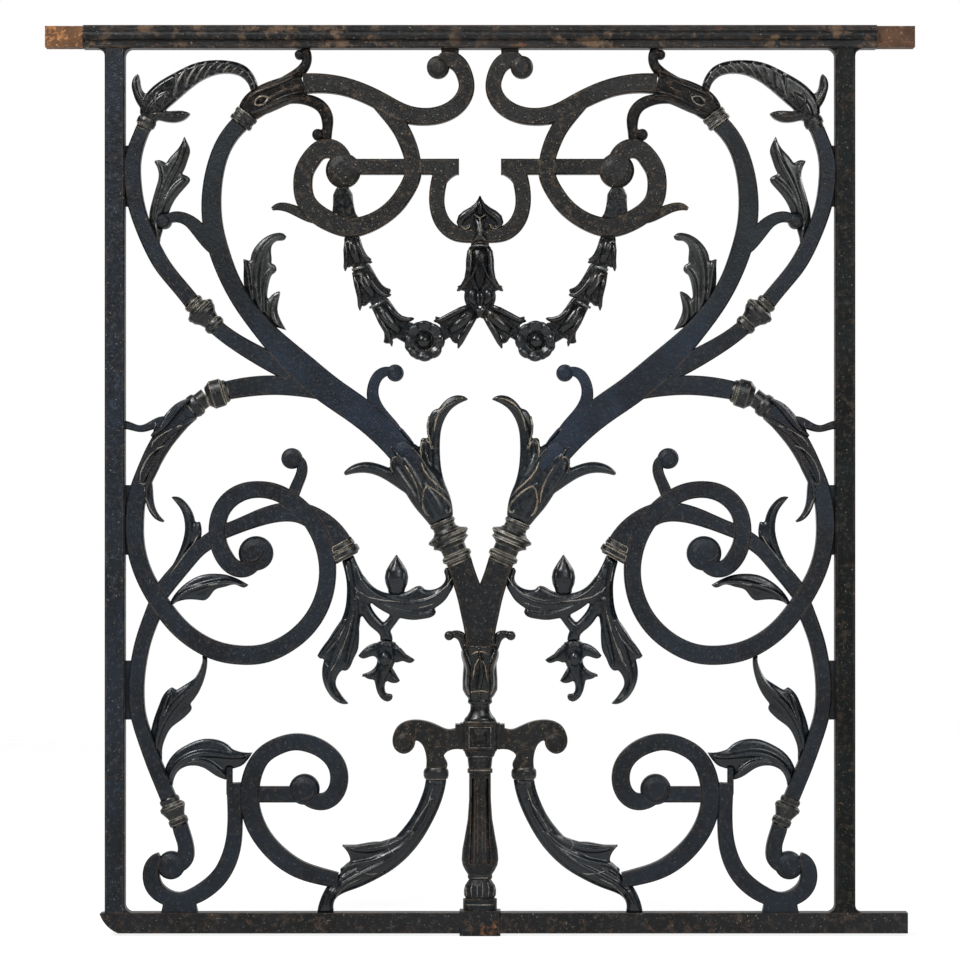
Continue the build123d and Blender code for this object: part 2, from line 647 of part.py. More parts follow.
def finial():
    """Three-lobed leaf that stands in the lyre."""
    left = plate(
        [(480.8, 195), (477, 201), (471, 208), (463, 215), (457.5, 222)],
        [(457.5, 222), (460, 228), (468, 230), (480.8, 230)],
        [(480.8, 230), (480.8, 195)], depth=14)
    return joined(
        left, mirrored(left),
        knob(464.5, 221.5, 5.6, 1), mirrored(knob(464.5, 221.5, 5.6, 1)),
        rib([(480, 196, 2), (480, 205, 10), (480, 214, 14), (480, 222, 9), (480, 236, 3)], depth=23),
        rib([(476, 228, 3), (469, 219, 5), (472, 210, 5), (478, 203, 2)], depth=20),
        rib([(484, 228, 3), (491, 219, 5), (488, 210, 5), (482, 203, 2)], depth=20))


keep("centre_finial", fitted(finial(), "fret_bracket"))

# Leaves of the upper scrolls.


def outer_leaf():
    blade = plate(
        [(158, 246), (151, 232), (148.5, 215), (151.5, 200), (155.5, 186), (158, 174), (156.5, 167), (153, 160.5)],
        [(153, 160.5), (160, 159.5), (165.5, 163)],
        [(165.5, 163), (170, 156), (177, 148.5), (181, 142), (183.5, 135)],
        [(183.5, 135), (187.5, 143), (189.5, 150), (187.5, 158), (184.5, 167), (181, 173.5)],
        [(181, 173.5), (186, 175), (189.5, 178), (186, 185), (178, 194), (171, 205), (167, 216), (162, 230), (158, 246)])
    return joined(
        blade,
        rib([(157, 243, 5), (157, 222, 8), (161, 200, 9), (170, 178, 10), (180, 158, 8), (184, 141, 2)]),
        rib([(160, 215, 4), (166, 199, 6), (175, 187, 7), (185, 178, 3)]),
        rib([(153, 220, 3), (155, 200, 5), (160, 180, 5), (157, 163, 2)]))


def inner_leaf():
    blade = plate(
        [(246, 293), (243.5, 285), (243, 272), (242.5, 258)],
        [(242.5, 258), (246.5, 259.5), (250, 260.5)],
        [(250, 260.5), (252, 251), (257, 243.5), (265, 236.5), (275, 232.5), (282, 232.5), (286, 236)],
        [(286, 236), (282.5, 240), (276, 240.5), (271, 246.5), (271, 255), (270.5, 263.5)],
        [(270.5, 263.5), (275, 265), (276, 270), (270.5, 275), (266, 281), (265, 290), (268, 299)],
        [(268, 299), (272, 294), (280, 290.5)],
        [(280, 290.5), (278.5, 299), (277, 308), (280, 319), (286, 330)],
        [(286, 330), (268, 322), (246, 293)])
    return joined(
        blade,
        rib([(262, 318, 6), (257, 298, 9), (256, 275, 9), (260, 255, 9), (270, 241, 7), (283, 236, 2)]),
        rib([(264, 312, 5), (264, 292, 6), (267, 277, 6), (273, 268, 3)]),
        rib([(252, 302, 5), (249, 285, 5), (247, 270, 5), (245, 261, 2)]),
        rib([(277, 325, 5), (272, 310, 6), (275, 299, 4), (279, 293, 1.5)]))


left_outer_leaf = fitted(outer_leaf(), "left_outer_branch", "left_main_scroll")
left_inner_leaf = fitted(inner_leaf(), "left_main_scroll")
keep("upper_leaves", left_outer_leaf, left_inner_leaf, mirrored(left_outer_leaf), mirrored(left_inner_leaf))

# Calyx on each arm.


def calyx():
    """Leafy cup that grips the arm above its collar, with two long leaves."""
    body = band([(441.5, 521, 25), (438, 512, 31), (432, 500, 37), (425, 488, 39), (417, 475, 38.5), (409, 463, 37),
                 (402, 454, 33)], depth=20, bevel=5, rise=4, lead=away("arm"))
    side_leaf = band([(420, 494, 14), (407, 485.5, 15), (394, 477.5, 13.5), (381, 471, 12), (368, 467.5, 11.5), (356, 468.5, 9.5), (346, 473, 5)],
                     "flat", "round", depth=15, bevel=3)
    tall_leaf = plate(
        [(446, 486), (441.5, 470), (440, 455), (440, 440), (441.5, 428), (446, 416.5), (452, 408.5), (460, 403), (468.5, 399.5)],
        [(468.5, 399.5), (464, 396), (457, 395), (450, 397), (443, 402.5), (438.5, 408.5)],
        [(438.5, 408.5), (433.5, 410), (429, 417), (427, 426.5), (428, 436), (430, 442)],
        [(430, 442), (427, 438.5), (422, 438), (420, 446), (418, 456), (414, 470)],
        [(414, 470), (446, 486)], depth=11)
    return joined(
        body, side_leaf, tall_leaf,
        rib([(432, 480, 9), (430.5, 455, 9), (432.5, 432, 7), (438.5, 416, 5), (451, 404, 4), (463, 398.8, 2)]),
        rib([(421.5, 474, 5), (422, 455, 4.5), (423.5, 443, 2)]),
        rib([(440, 519, 4), (437, 509, 14), (431, 497, 14), (424, 484, 2)], depth=26),
        rib([(424, 494, 4), (413, 476, 12), (403, 461, 12), (391, 447, 2)], depth=23.5),
        rib([(437, 492, 4), (428, 473, 10), (419, 457, 9), (411, 446, 2)], depth=23),
        rib([(415, 498, 3), (405, 483, 9), (397, 471, 8), (392, 461, 2)], depth=22),
        knob(395, 460.5, 5.5, 0))


left_calyx = fitted(calyx(), "collars")
keep("calyxes", left_calyx, mirrored(left_calyx))
for side in ("left_", "right_"):
    made[side + "main_scroll"] = [s for solid in made[side + "main_scroll"] for s in solids_of(fitted(solid, "calyxes"))]

# Side branch and the big volute.


def side_branch():
    """Branch off the main scroll, up to its collars."""
    return band([(330, 396, 12), (314, 390, 17), (296, 386.5, 19), (272, 385, 19.5), (249, 386.5, 19.5), (228, 390, 18.6)],
                trail=towards("side_first"))


def wrap():
    """Leaves wrapped round the volute where it leaves the collars."""
    tie = band([(172, 425, 9), (164, 422, 12), (156, 423, 10), (148, 426.5, 8), (139, 428.5, 7), (131, 426.5, 7.5), (122, 424.5, 8.5)],
               depth=11)
    tip = band([(145, 478, 10), (148, 494, 8.5), (150.5, 507, 7), (155.5, 516, 5.5), (163, 521.5, 2)], depth=13)
    return [
        tie, tip,
        rib([(189, 400, 4), (178, 408.5, 11), (165, 424, 12), (151, 436, 3)], depth=23),
        rib([(194, 418, 4), (181, 425, 11), (167, 437, 11), (154, 452, 3)], depth=22.4),
        rib([(176, 433, 4), (164, 447, 11), (153, 463, 10), (143, 481, 3)], depth=22),
        rib([(160, 456, 4), (152.5, 470, 9), (147, 484, 7), (147, 497, 2)], depth=21)]


def volute():
    return joined(
        band([
            (190, 409, 20.4), (181, 417, 22), (170.5, 429, 22), (161, 442, 21), (152.5, 457, 20), (145.5, 472, 19),
            (139.5, 487, 18.5), (135.5, 502, 18), (133.8, 518, 18.5), (134, 537, 18), (137, 556, 17.5), (142.5, 573, 17.5),
            (151.5, 591, 18), (163.5, 609.5, 18.5), (178, 627, 18.5), (196, 641.5, 18.5), (217, 651.5, 19), (240, 655.5, 19),
            (263, 654, 19), (284, 645.5, 18.5), (303, 631, 18.5), (316, 614, 18), (324, 595, 17.5), (327.3, 574, 17),
            (325.5, 553, 17.5), (318.5, 533, 17.5), (307.5, 516, 17.5), (293, 502, 17), (276, 492.5, 17), (258, 489.5, 17),
            (241, 492.5, 17.5), (227.5, 501.5, 17.5), (219.5, 514, 17), (216.7, 530, 17), (218.7, 546, 17), (225, 559, 17.5),
            (234.5, 568, 16.5), (246, 569, 16), (254, 562, 15), (256, 554, 14),
        ], lead=towards("side_second")),
        *wrap(),
        band([(128.5, 485, 9), (128.5, 520, 9), (128.5, 555, 9)], depth=web_depth, bevel=0.5),
        knob(255.5, 553.5, 17.3),
        band([(288, 504, 10), (292.5, 495, 12), (297, 484, 11.5), (301, 474, 11), (301, 464, 10.5), (293, 458, 8)], depth=14),
        knob(291.5, 458.5, 10.5, 1))


keep_pair("side_branch", fitted(side_branch(), "left_main_scroll", "left_outer_branch", "collars"))
keep_pair("volute", fitted(volute(), "left_stile", "collars"))
tendril_collar = fitted(
    turned([(0, 12.5), (0.15, 14), (0.35, 14.4), (0.42, 13), (0.5, 15.6), (0.82, 15.8), (0.9, 13.5), (1, 12)], *seats["tendril"]),
    "left_volute")
made["collars"] = made["collars"] + solids_of(tendril_collar) + solids_of(mirrored(tendril_collar))


def tendril():
    """Tendril that runs through the volute to the spray's collar."""
    lower = band([(158, 596, 17), (172, 578, 17), (186, 562, 16), (198, 549.5, 15), (209, 541, 16), (217, 536, 16)], depth=14)
    upper = band([(222, 532, 15), (243, 524, 15), (260, 517.5, 17), (280, 512.5, 19), (300, 513, 21), (320, 523, 24),
                  (332, 534, 25), (339, 543.5, 25)], depth=14)
    return lower, upper


tendril_lower, tendril_upper = (fitted(part, "left_volute", "collars") for part in tendril())
tendril_pair = solids_of(tendril_lower) + solids_of(tendril_upper)
keep("tendrils", *tendril_pair, *[mirrored(solid) for solid in tendril_pair])


def tendril_leaf():
    blade = plate(
        [(163, 578), (171, 566.5), (178, 553), (182.5, 540), (184.3, 529), (183.5, 519), (180.5, 510), (175.5, 503), (170.5, 497)],
        [(170.5, 497), (178, 497), (185, 502), (190.5, 509.5), (193.5, 517), (194.5, 522.5)],
        [(194.5, 522.5), (199.5, 521.5)],
        [(199.5, 521.5), (201, 529), (200.5, 537), (195, 545)],
        [(195, 545), (190, 560), (163, 578)], depth=11)
    return joined(blade, rib([(172, 570, 6), (183, 553, 7), (189, 536, 8), (189, 519, 7), (183, 506, 6), (173, 498, 2)]))


def eye_leaf():
    blade = plate(
        [(168, 606), (173, 596), (182, 586), (192, 579), (202, 575), (214, 573.8), (226, 575), (236, 578.5), (248, 585)],
        [(248, 585), (243, 588), (235, 585), (225, 587), (214, 590.5), (209, 597), (203.5, 601)],
        [(203.5, 601), (195, 600), (185, 600), (177, 602), (168, 606)])
    return joined(blade, rib([(172, 603, 4), (186, 592, 7), (202, 586, 8), (220, 582, 7), (242, 585, 2)]))


left_tendril_leaf = fitted(tendril_leaf(), "tendrils", "left_volute")
left_eye_leaf = fitted(eye_leaf(), "tendrils", "left_volute")
keep("volute_leaves", left_tendril_leaf, left_eye_leaf, mirrored(left_tendril_leaf), mirrored(left_eye_leaf))

# Spray of leaves beside the fork.


def spray():
    """Leaf that hangs from the tendril, boat-shaped leaf that reaches the fork, and the flower's stalk."""
    hanging = plate(
        [(340, 556), (344, 570), (346.3, 583), (346.3, 597), (344.5, 610), (341, 620), (335, 631), (327, 641), (321, 649), (317, 656)],
        [(317, 656), (320, 659), (324.5, 658)],
        [(324.5, 658), (322, 668), (322, 678), (324.5, 687), (329, 695), (335.5, 701.5), (342, 704.5), (348.5, 704)],
        [(348.5, 704), (343, 698), (338.5, 691.5), (335.5, 685), (337, 677), (342, 670.5)],
        [(342, 670.5), (346, 671), (349.5, 668), (353, 660), (357, 652), (358.8, 642), (359, 630), (358.5, 618)],
        [(358.5, 618), (361, 605), (362, 592), (363, 578), (358, 566), (353, 553)],
        [(353, 553), (340, 556)], depth=11)
    boat = plate(
        [(357, 566), (364, 577), (371, 585.5), (380, 591), (389, 593.5), (400, 593.2), (408, 591), (414, 587.5), (420, 586), (424, 589.5)],
        [(424, 589.5), (431, 590), (438, 588), (443.5, 583.5), (445.5, 577.5), (444, 572), (447.5, 567)],
        [(447.5, 567), (452, 575), (453.5, 586), (450, 593), (445.5, 600), (440, 605), (434, 609)],
        [(434, 609), (436, 612.5), (433, 616.5), (425, 619), (414, 620.3), (403, 619), (394, 616.5), (384, 612), (374, 605.5),
         (366, 598), (357, 585)],
        [(357, 585), (357, 566)], depth=13)
    stalk = joined(
        band([(359, 592, 13), (363, 604, 12.5), (368.5, 615, 12), (377, 625, 12), (385, 634, 11.5), (386, 641.5, 13)], depth=12),
        band([(396, 615, 10), (391, 622, 10), (385, 629, 11)], depth=12))
    return joined(
        hanging, boat, stalk,
        rib([(348, 562, 8), (352, 590, 10), (350, 615, 11), (340, 640, 12), (331, 665, 9), (329, 686, 7), (342, 702, 2)]),
        rib([(356, 600, 7), (355, 625, 9), (350, 648, 8), (346, 667, 3)]),
        rib([(344, 620, 5), (333, 638, 7), (320, 656, 2)]),
        rib([(362, 580, 8), (378, 597, 12), (400, 604, 14), (422, 603, 13), (440, 594, 9), (449, 578, 4)]),
        rib([(380, 603, 4), (400, 612, 6), (418, 615, 6), (433, 612, 3)]))


left_spray = fitted(spray(), "collars", "fork", "left_volute", "tendrils")
keep("sprays", left_spray, mirrored(left_spray))


def bud():
    """Pointed bud that stands on the boat-shaped leaf."""
    return turned([(0, 8), (0.05, 8.6), (0.1, 8.4), (0.25, 11), (0.42, 12), (0.6, 10.6), (0.8, 6), (0.93, 2.4), (1, 0.7)],
                  (396.3, 594), (396.3, 555), flat=0.6)


def bell_flower():
    """Hanging flower with turned-back petals and a hooked tongue."""
    petals = plate(
        [(394, 643), (400.5, 649), (406, 656), (415, 660)],
        [(415, 660), (407, 663), (402, 661.5), (397, 663), (393.5, 660)],
        [(393.5, 660), (392, 668), (394, 675), (400, 681)],
        [(400, 681), (396, 683.5), (389, 682.5), (385, 680)],
        [(385, 680), (384.5, 688), (387, 694), (391.5, 694.5), (392.5, 698), (388, 702), (381.5, 699.5), (376.5, 691), (374, 680)],
        [(374, 680), (367, 679), (361.5, 674.5)],
        [(361.5, 674.5), (369, 672), (375, 667), (377, 660)],
        [(377, 660), (373, 656.5), (366, 658.5), (358, 656)],
        [(358, 656), (364, 649), (371, 644.5), (378, 643)],
        [(378, 643), (394, 643)], depth=10)
    cap = band([(386, 641.5, 15), (386, 646, 16), (386, 656, 19), (385, 668, 14), (381, 682, 9), (383, 696, 6)], depth=16, bevel=3)
    return joined(petals, cap)


left_bud = fitted(bud(), "sprays")
left_flower = fitted(bell_flower(), "sprays")
keep("blooms", left_bud, left_flower, mirrored(left_bud), mirrored(left_flower))

# Lower scrollwork.


def lower_stem():
    """Bar that leaves the volute, leans on the stile and drops to the base scroll."""
    upper = band([(158, 600, 17), (150, 620, 16), (143, 640, 15.5), (138.5, 660, 15.5), (136, 680, 15.5), (135.7, 698, 15.5),
                  (137.5, 715, 15), (142.5, 733, 15), (149, 752, 15), (156, 770, 15.5), (163, 787, 15.5), (167.5, 798, 15.5)],
                 trail=towards("stem"))
    web = band([(126.5, 661, 9), (126.5, 690, 9), (126.5, 720, 9)], depth=web_depth, bevel=0.5)
    hook = joined(
        band([(179.5, 826.5, 15.5), (183, 838, 15.5), (185.5, 850, 16), (184.3, 859, 17), (179.5, 865, 15), (171, 866, 12)],
             lead=towards("stem")),
        knob(170.5, 866, 14))
    return joined(upper, web), hook


def base_scroll():
    """Foot scroll: one end hooks round the stem, the other leans on the lower volute."""
    line = band([
        (160, 858.5, 11), (153.5, 864, 15), (150.5, 875, 16.5), (154, 888, 17), (164, 897, 16), (178, 900.5, 14.5),
        (194, 896.5, 16.5), (208, 888, 17.5), (220, 876, 17.5), (228.5, 860, 17), (233, 843, 16), (234.5, 825, 15),
        (234.5, 805, 15), (234.2, 794, 15.3), (233.8, 783.5, 15.5),
    ])
    link = band([(229, 795, 6), (229, 782, 6), (229, 768, 6)], depth=13, bevel=1)
    pad = band([(179, 900, 33), (179, 907, 34), (179, 915, 38)])
    return joined(line, pad, link)


def lower_volute():
    tie = band([(250, 795, 16), (280, 795, 16), (298, 795, 16)], depth=13)
    return joined(
        band([
            (337, 881, 15), (318, 876.5, 16.5), (300, 870.5, 17.5), (281, 858.5, 18.5), (265, 842, 18.5), (254.5, 824, 19),
            (249.5, 805, 19), (249.5, 788, 19), (254, 770, 18.5), (263, 756, 17.5), (277, 747, 17), (294, 742.5, 16.5),
            (311, 745, 17), (326, 753, 17), (336, 765, 17.5), (339, 779, 18), (335.3, 793, 18), (325.5, 801.5, 17),
            (314, 801.5, 16), (305.5, 796, 15), (304, 789, 14),
        ]),
        knob(304, 790, 15.3), tie)


stem_upper, stem_hook = lower_stem()
stem_upper = fitted(stem_upper, "left_stile", "left_volute", "tendrils", "collars")
stem_hook = fitted(stem_hook, "collars")
keep_pair("lower_stem", Compound(solids_of(stem_upper) + solids_of(stem_hook)))
keep_pair("lower_volute", lower_volute())
keep_pair("base_scroll", fitted(base_scroll(), "base_rail", "left_lower_stem", "left_lower_volute"))


def crossarm():
    """Scrolled arm of the boss, with the short leg that its ring collar stands under."""
    arm = plate(
        [(461, 728), (455, 729), (449, 730), (441, 727.5), (430, 722.8), (418, 720.5), (406, 721.8), (398, 726.5), (393.2, 735),
         (392.5, 743), (396, 750.5), (404, 754), (411, 751), (415, 744)],
        [(415, 744), (416, 741), (420.5, 743), (424, 748.5), (426, 756), (426, 768.5)],
        [(426, 768.5), (446.5, 768.5)],
        [(446.5, 768.5), (446, 761), (444, 756), (448, 751.5), (454, 749.5), (461, 749.5)],
        [(461, 749.5), (461, 728)], depth=scroll_depth)
    return joined(arm, knob(404.5, 742.5, 10.3))


left_crossarm = fitted(crossarm(), "boss", "collars")
keep("crossarm", left_crossarm, mirrored(left_crossarm))


def acanthus_arm():
    """Leaf-wrapped arm that swings from the crossarm down to a foot on the base rail."""
    arm = band([
        (436, 780, 21), (434, 791, 20.5), (430, 803, 20.5), (422, 820, 20.5), (411.5, 836, 22), (399.5, 849.5, 23),
        (385, 861, 24), (368, 871, 23.5), (351, 880, 21), (338, 887, 17.5), (329.5, 896, 14), (326, 905, 14.5), (325.5, 915, 18),
    ], depth=18, bevel=4, rise=4, lead=towards("crossarm"))
    leaf = plate(
        [(406, 836), (399, 837), (392, 839), (385, 843.5)],
        [(385, 843.5), (372, 842.8), (356, 845.5), (340.5, 845)],
        [(340.5, 845), (346, 851), (349.5, 858), (349, 864), (342, 868), (350, 878)],
        [(350, 878), (406, 836)], depth=14)
    return joined(
        arm, leaf,
        rib([(410, 832, 4), (396, 842, 9), (380, 848, 11), (362, 850, 10), (343.5, 846.5, 2)], depth=22),
        rib([(405, 843, 4), (388, 855, 10), (370, 862, 10), (350, 866, 7), (340, 877, 2)], depth=21),
        rib([(431, 800, 3), (425, 818, 8), (412, 837, 9), (396, 854, 9), (374, 868, 8), (350, 880, 6), (334, 892, 4),
             (327, 906, 3)], depth=22.5))


keep_pair("acanthus_arm", fitted(acanthus_arm(), "base_rail", "collars", "left_lower_volute"))


def low_leaf():
    blade = plate(
        [(158, 776), (150.5, 757), (149, 743), (150.5, 730), (154, 717), (158.5, 705), (163, 695), (168, 689.5), (171.5, 687.5)],
        [(171.5, 687.5), (175.5, 690.5)],
        [(175.5, 690.5), (182, 686.5), (190, 681.5), (197.5, 675), (201, 667), (201.5, 655)],
        [(201.5, 655), (206.5, 655)],
        [(206.5, 655), (206.3, 668), (203.5, 680), (199, 691), (194, 699), (189.5, 704.5)],
        [(189.5, 704.5), (191, 709.5), (187, 715), (179.5, 721.5), (171, 728), (165, 738), (161.5, 750), (161.5, 764), (158, 776)])
    return joined(
        blade,
        rib([(156, 768, 5), (155.5, 745, 7), (163, 722, 9), (177, 702, 9), (192, 687, 7), (202, 668, 4), (204, 658, 3)]),
        rib([(158, 735, 4), (162, 713, 7), (170, 693, 3)]))


def arched_leaf():
    blade = plate(
        [(161, 790), (163.5, 772), (169, 759.5), (177, 751), (187, 745), (198, 740.5), (209, 739.3), (219, 741), (227, 745), (231.5, 749.5)],
        [(231.5, 749.5), (240, 752.5), (252, 753)],
        [(252, 753), (246, 762), (240, 767), (231, 770), (229, 781)],
        [(229, 781), (222, 779.5), (213, 775), (205, 769.5), (195, 766.3), (186, 767), (178, 771.5), (173.5, 779), (172, 790)],
        [(172, 790), (172, 800)],
        [(172, 800), (161, 790)])
    return joined(
        blade,
        rib([(168, 790, 5), (172, 772, 8), (184, 760, 9), (203, 754, 10), (224, 756, 8), (246, 757, 2)]),
        rib([(188, 762, 4), (205, 762, 6), (218, 770, 5), (226, 777, 2)]))


left_low_leaf = fitted(low_leaf(), "left_lower_stem", "left_volute")
left_arched_leaf = fitted(arched_leaf(), "left_lower_stem", "left_base_scroll", "left_lower_volute", "collars")
keep("lower_leaves", left_low_leaf, left_arched_leaf, mirrored(left_low_leaf), mirrored(left_arched_leaf))

# Write the parts.
os.makedirs("parts", exist_ok=True)
for name, solids in made.items():
    export_step(Compound(solids), f"parts/{name}.step")
print(len(made), "nodes")
for name, solids in made.items():
    print(name, len(solids), round(sum(solid.volume for solid in solids)))
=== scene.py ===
from math import atan2, cos, pi, radians, sin

import bpy
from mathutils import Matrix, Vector, kdtree


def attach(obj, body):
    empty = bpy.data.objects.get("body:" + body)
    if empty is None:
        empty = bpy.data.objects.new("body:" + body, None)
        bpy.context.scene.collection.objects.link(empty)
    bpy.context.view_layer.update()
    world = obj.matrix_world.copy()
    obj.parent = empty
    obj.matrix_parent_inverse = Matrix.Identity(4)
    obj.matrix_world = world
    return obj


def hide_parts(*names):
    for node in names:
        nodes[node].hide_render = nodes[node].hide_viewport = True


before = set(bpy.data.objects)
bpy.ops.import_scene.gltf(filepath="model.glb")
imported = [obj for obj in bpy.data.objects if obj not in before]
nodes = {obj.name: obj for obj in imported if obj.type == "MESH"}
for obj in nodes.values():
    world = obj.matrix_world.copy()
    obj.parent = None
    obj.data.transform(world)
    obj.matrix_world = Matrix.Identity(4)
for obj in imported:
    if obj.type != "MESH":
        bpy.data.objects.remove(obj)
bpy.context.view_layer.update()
bpy.ops.object.select_all(action="DESELECT")

# Base rail and centre foot: plain cast bars, the rail's left end broken off and its right end whole.
# Old blue-black oil paint over cast iron, rubbed thin and gone brown where hands and weather reach it.
edge_width = 0.0022      # how far in from an edge the paint is rubbed
hollow_reach = 0.007     # how near a wall has to be for a hollow to get painted shade, and for an edge to count as sheltered from wear
grit_height = 0.0010     # how high the sand grain of the casting stands
road_dust = (0.23, 0.20, 0.15, 1)
# painted shade: the near-black that darkens hollows and creases wherever ambient occlusion finds them
painted_hollow_shade = (0.004, 0.004, 0.005, 1)


def add_node(tree, kind, settings=(), **inputs):
    """A shader node with its settings and inputs: an input may be a value or another node's socket."""
    node = tree.nodes.new("ShaderNode" + kind)
    for key, value in dict(settings).items():
        setattr(node, key, value)
    for key, value in inputs.items():
        socket = node.inputs[int(key[1:])] if key[1:].isdigit() else node.inputs[key.replace("_", " ")]
        if isinstance(value, bpy.types.NodeSocket):
            tree.links.new(value, socket)
        else:
            socket.default_value = value
    return node


def spread(tree, source, low, high, to_low=0.0, to_high=1.0):
    """A value mapped smoothly from low..high to to_low..to_high."""
    return add_node(tree, "MapRange", {"interpolation_type": "SMOOTHSTEP"}, i0=source, i1=low, i2=high,
                    i3=to_low, i4=to_high).outputs[0]


def blended(tree, share, first, second):
    """Two colours mixed by a share."""
    return add_node(tree, "Mix", {"data_type": "RGBA"}, i0=share, i6=first, i7=second).outputs[2]


def combined(tree, operation, first, second):
    """Two values put through one sum."""
    return add_node(tree, "Math", {"operation": operation}, i0=first, i1=second).outputs[0]


def noise(tree, where, scale, detail, roughness):
    """An uneven pattern from 0 to 1, finer with a larger scale."""
    return add_node(tree, "TexNoise", Vector=where, Scale=scale, Detail=detail, Roughness=roughness).outputs[0]


def toned(colour, factor):
    """A colour made darker or lighter."""
    return tuple(c * factor for c in colour[:3]) + (1,)


def weathered_iron(name, paint, worn, rust, patches=0.3, rust_from=0.68, wear=0.8, gloss=0.36, grit=0.7,
                   shine=0.22, patch_scale=130.0, specks=0.5):
    """Old paint on cast iron. patches is how much has gone brown, rust_from how rare the rust is, wear how
    bare the edges are, gloss the roughness of sound paint, and grit how rough the iron was cast."""
    material = bpy.data.materials.new(name)
    material.use_nodes = True
    tree = material.node_tree
    shader = tree.nodes["Principled BSDF"]
    where = add_node(tree, "TexCoord").outputs["Object"]
    cloud = noise(tree, where, 16.0, 6.0, 0.62)
    blotch = noise(tree, where, 52.0, 5.0, 0.65)
    grain = noise(tree, where, 260.0, 4.0, 0.7)
    speck = noise(tree, where, 480.0, 2.0, 0.5)
    mottle = noise(tree, where, patch_scale, 6.0, 0.7)
    pits = add_node(tree, "TexVoronoi", Vector=where, Scale=330.0).outputs["Distance"]

    # Open ridges and edges are rubbed bare, and hollows are darkened with painted shade found by ambient occlusion.
    rounded = add_node(tree, "Bevel", {"samples": 4}, Radius=edge_width).outputs[0]
    straight = add_node(tree, "NewGeometry").outputs["Normal"]
    lean = add_node(tree, "VectorMath", {"operation": "DOT_PRODUCT"}, i0=rounded, i1=straight).outputs["Value"]
    open_air = add_node(tree, "AmbientOcclusion", {"samples": 5}, Distance=hollow_reach).outputs["AO"]
    edge = combined(tree, "MULTIPLY", spread(tree, lean, 0.992, 0.90), spread(tree, open_air, 0.45, 0.85))
    edge = combined(tree, "MULTIPLY", edge, spread(tree, blotch, 0.38, 0.60))

    # The paint is clouded and specked lighter in a fine grain that is partly painted glints, goes brown in patches,
    # and the rust breaks through over both.
    base = blended(tree, spread(tree, cloud, 0.35, 0.66), paint, toned(paint, 0.35))
    # Painted highlight: fine grain specks made lighter than the paint, standing in for sparkle as well as speckle.
    specks_and_painted_glints = spread(tree, grain, 0.54, 0.68, 0.0, min(0.9, specks * 1.8))
    base = blended(tree, specks_and_painted_glints, base, toned(paint, 3.2))
    brown = combined(tree, "MULTIPLY", spread(tree, mottle, 0.50, 0.64), spread(tree, cloud, 0.32, 0.62, 0.15, 1.0))
    base = blended(tree, combined(tree, "MULTIPLY", brown, patches), base, worn)
    broken = spread(tree, blotch, rust_from, rust_from + 0.08)
    rusty = combined(tree, "MULTIPLY", broken, spread(tree, grain, 0.42, 0.60))
    base = blended(tree, rusty, base, rust)
    base = blended(tree, combined(tree, "MULTIPLY", edge, wear), base, worn)
    dust = spread(tree, speck, 0.66, 0.74, 0.0, specks)
    base = blended(tree, dust, base, road_dust)
    # Painted shade: the colour goes towards near-black where ambient occlusion finds a hollow.
    base = blended(tree, spread(tree, open_air, 0.25, 0.75, 0.75, 0.0), base, painted_hollow_shade)
    tree.links.new(base, shader.inputs["Base Color"])

    # Rust and dust are dull, sound paint keeps its gloss, and the sand grain of the casting shows through.
    dull = combined(tree, "MAXIMUM", combined(tree, "MAXIMUM", rusty, dust), combined(tree, "MULTIPLY", brown, 0.5))
    dull = combined(tree, "MAXIMUM", dull, spread(tree, grain, 0.25, 0.75, 0.0, 0.35))
    rough = add_node(tree, "MapRange", i0=dull, i1=0.0, i2=1.0, i3=gloss, i4=0.85).outputs[0]
    tree.links.new(rough, shader.inputs["Roughness"])
    shader.inputs["Specular IOR Level"].default_value = shine
    sunk = spread(tree, pits, 0.0, 0.25)
    uneven = add_node(tree, "Math", {"operation": "MULTIPLY_ADD"}, i0=sunk, i1=0.4, i2=grain).outputs[0]
    relief = combined(tree, "ADD", uneven, combined(tree, "MULTIPLY", blotch, 1.2))
    bump = add_node(tree, "Bump", Strength=grit, Distance=grit_height, Height=relief)
    tree.links.new(bump.outputs[0], shader.inputs["Normal"])
    return material


def toned_along(material, axis, low, high, tone):
    """Multiply a finish by a tone that comes in between two places along one axis of the frame."""
    tree = material.node_tree
    colour = tree.nodes["Principled BSDF"].inputs["Base Color"]
    where = add_node(tree, "TexCoord").outputs["Object"]
    along = add_node(tree, "SeparateXYZ", Vector=where).outputs[axis]
    changed = add_node(tree, "Mix", {"data_type": "RGBA", "blend_type": "MULTIPLY"},
                       i0=spread(tree, along, low, high), i6=colour.links[0].from_socket, i7=tone).outputs[2]
    tree.links.new(changed, colour)


def clad(piece, material):
    """Give a piece its one finish."""
    piece.data.materials.clear()
    piece.data.materials.append(material)


blue_black = (0.0060, 0.0100, 0.0158, 1)
soft_black = (0.0062, 0.0066, 0.0076, 1)
brown_iron = (0.060, 0.039, 0.026, 1)
rubbed_gold = (0.115, 0.078, 0.044, 1)
red_rust = (0.140, 0.052, 0.020, 1)
rail_iron = weathered_iron("rail_iron", soft_black, brown_iron, red_rust, patches=0.6, rust_from=0.66, specks=0.7)
foot_iron = weathered_iron("foot_iron", soft_black, brown_iron, red_rust, patches=0.75, rust_from=0.56, wear=1.0)
clad(nodes["base_rail"], rail_iron)
clad(nodes["centre_foot"], foot_iron)

# Stiles: two plain square uprights cast with the rails, with a small fillet in each corner.
# The paint is blue-black on the left one, and the right one has weathered browner.
stile_paint = weathered_iron("stile_paint", blue_black, brown_iron, red_rust, patches=0.2, rust_from=0.70)
stile_worn = weathered_iron("stile_worn", paint=(0.0042, 0.0062, 0.0062, 1), worn=brown_iron, rust=red_rust,
                            patches=0.4, rust_from=0.66, shine=0.12)
clad(nodes["left_stile"], stile_paint)
clad(nodes["right_stile"], stile_worn)

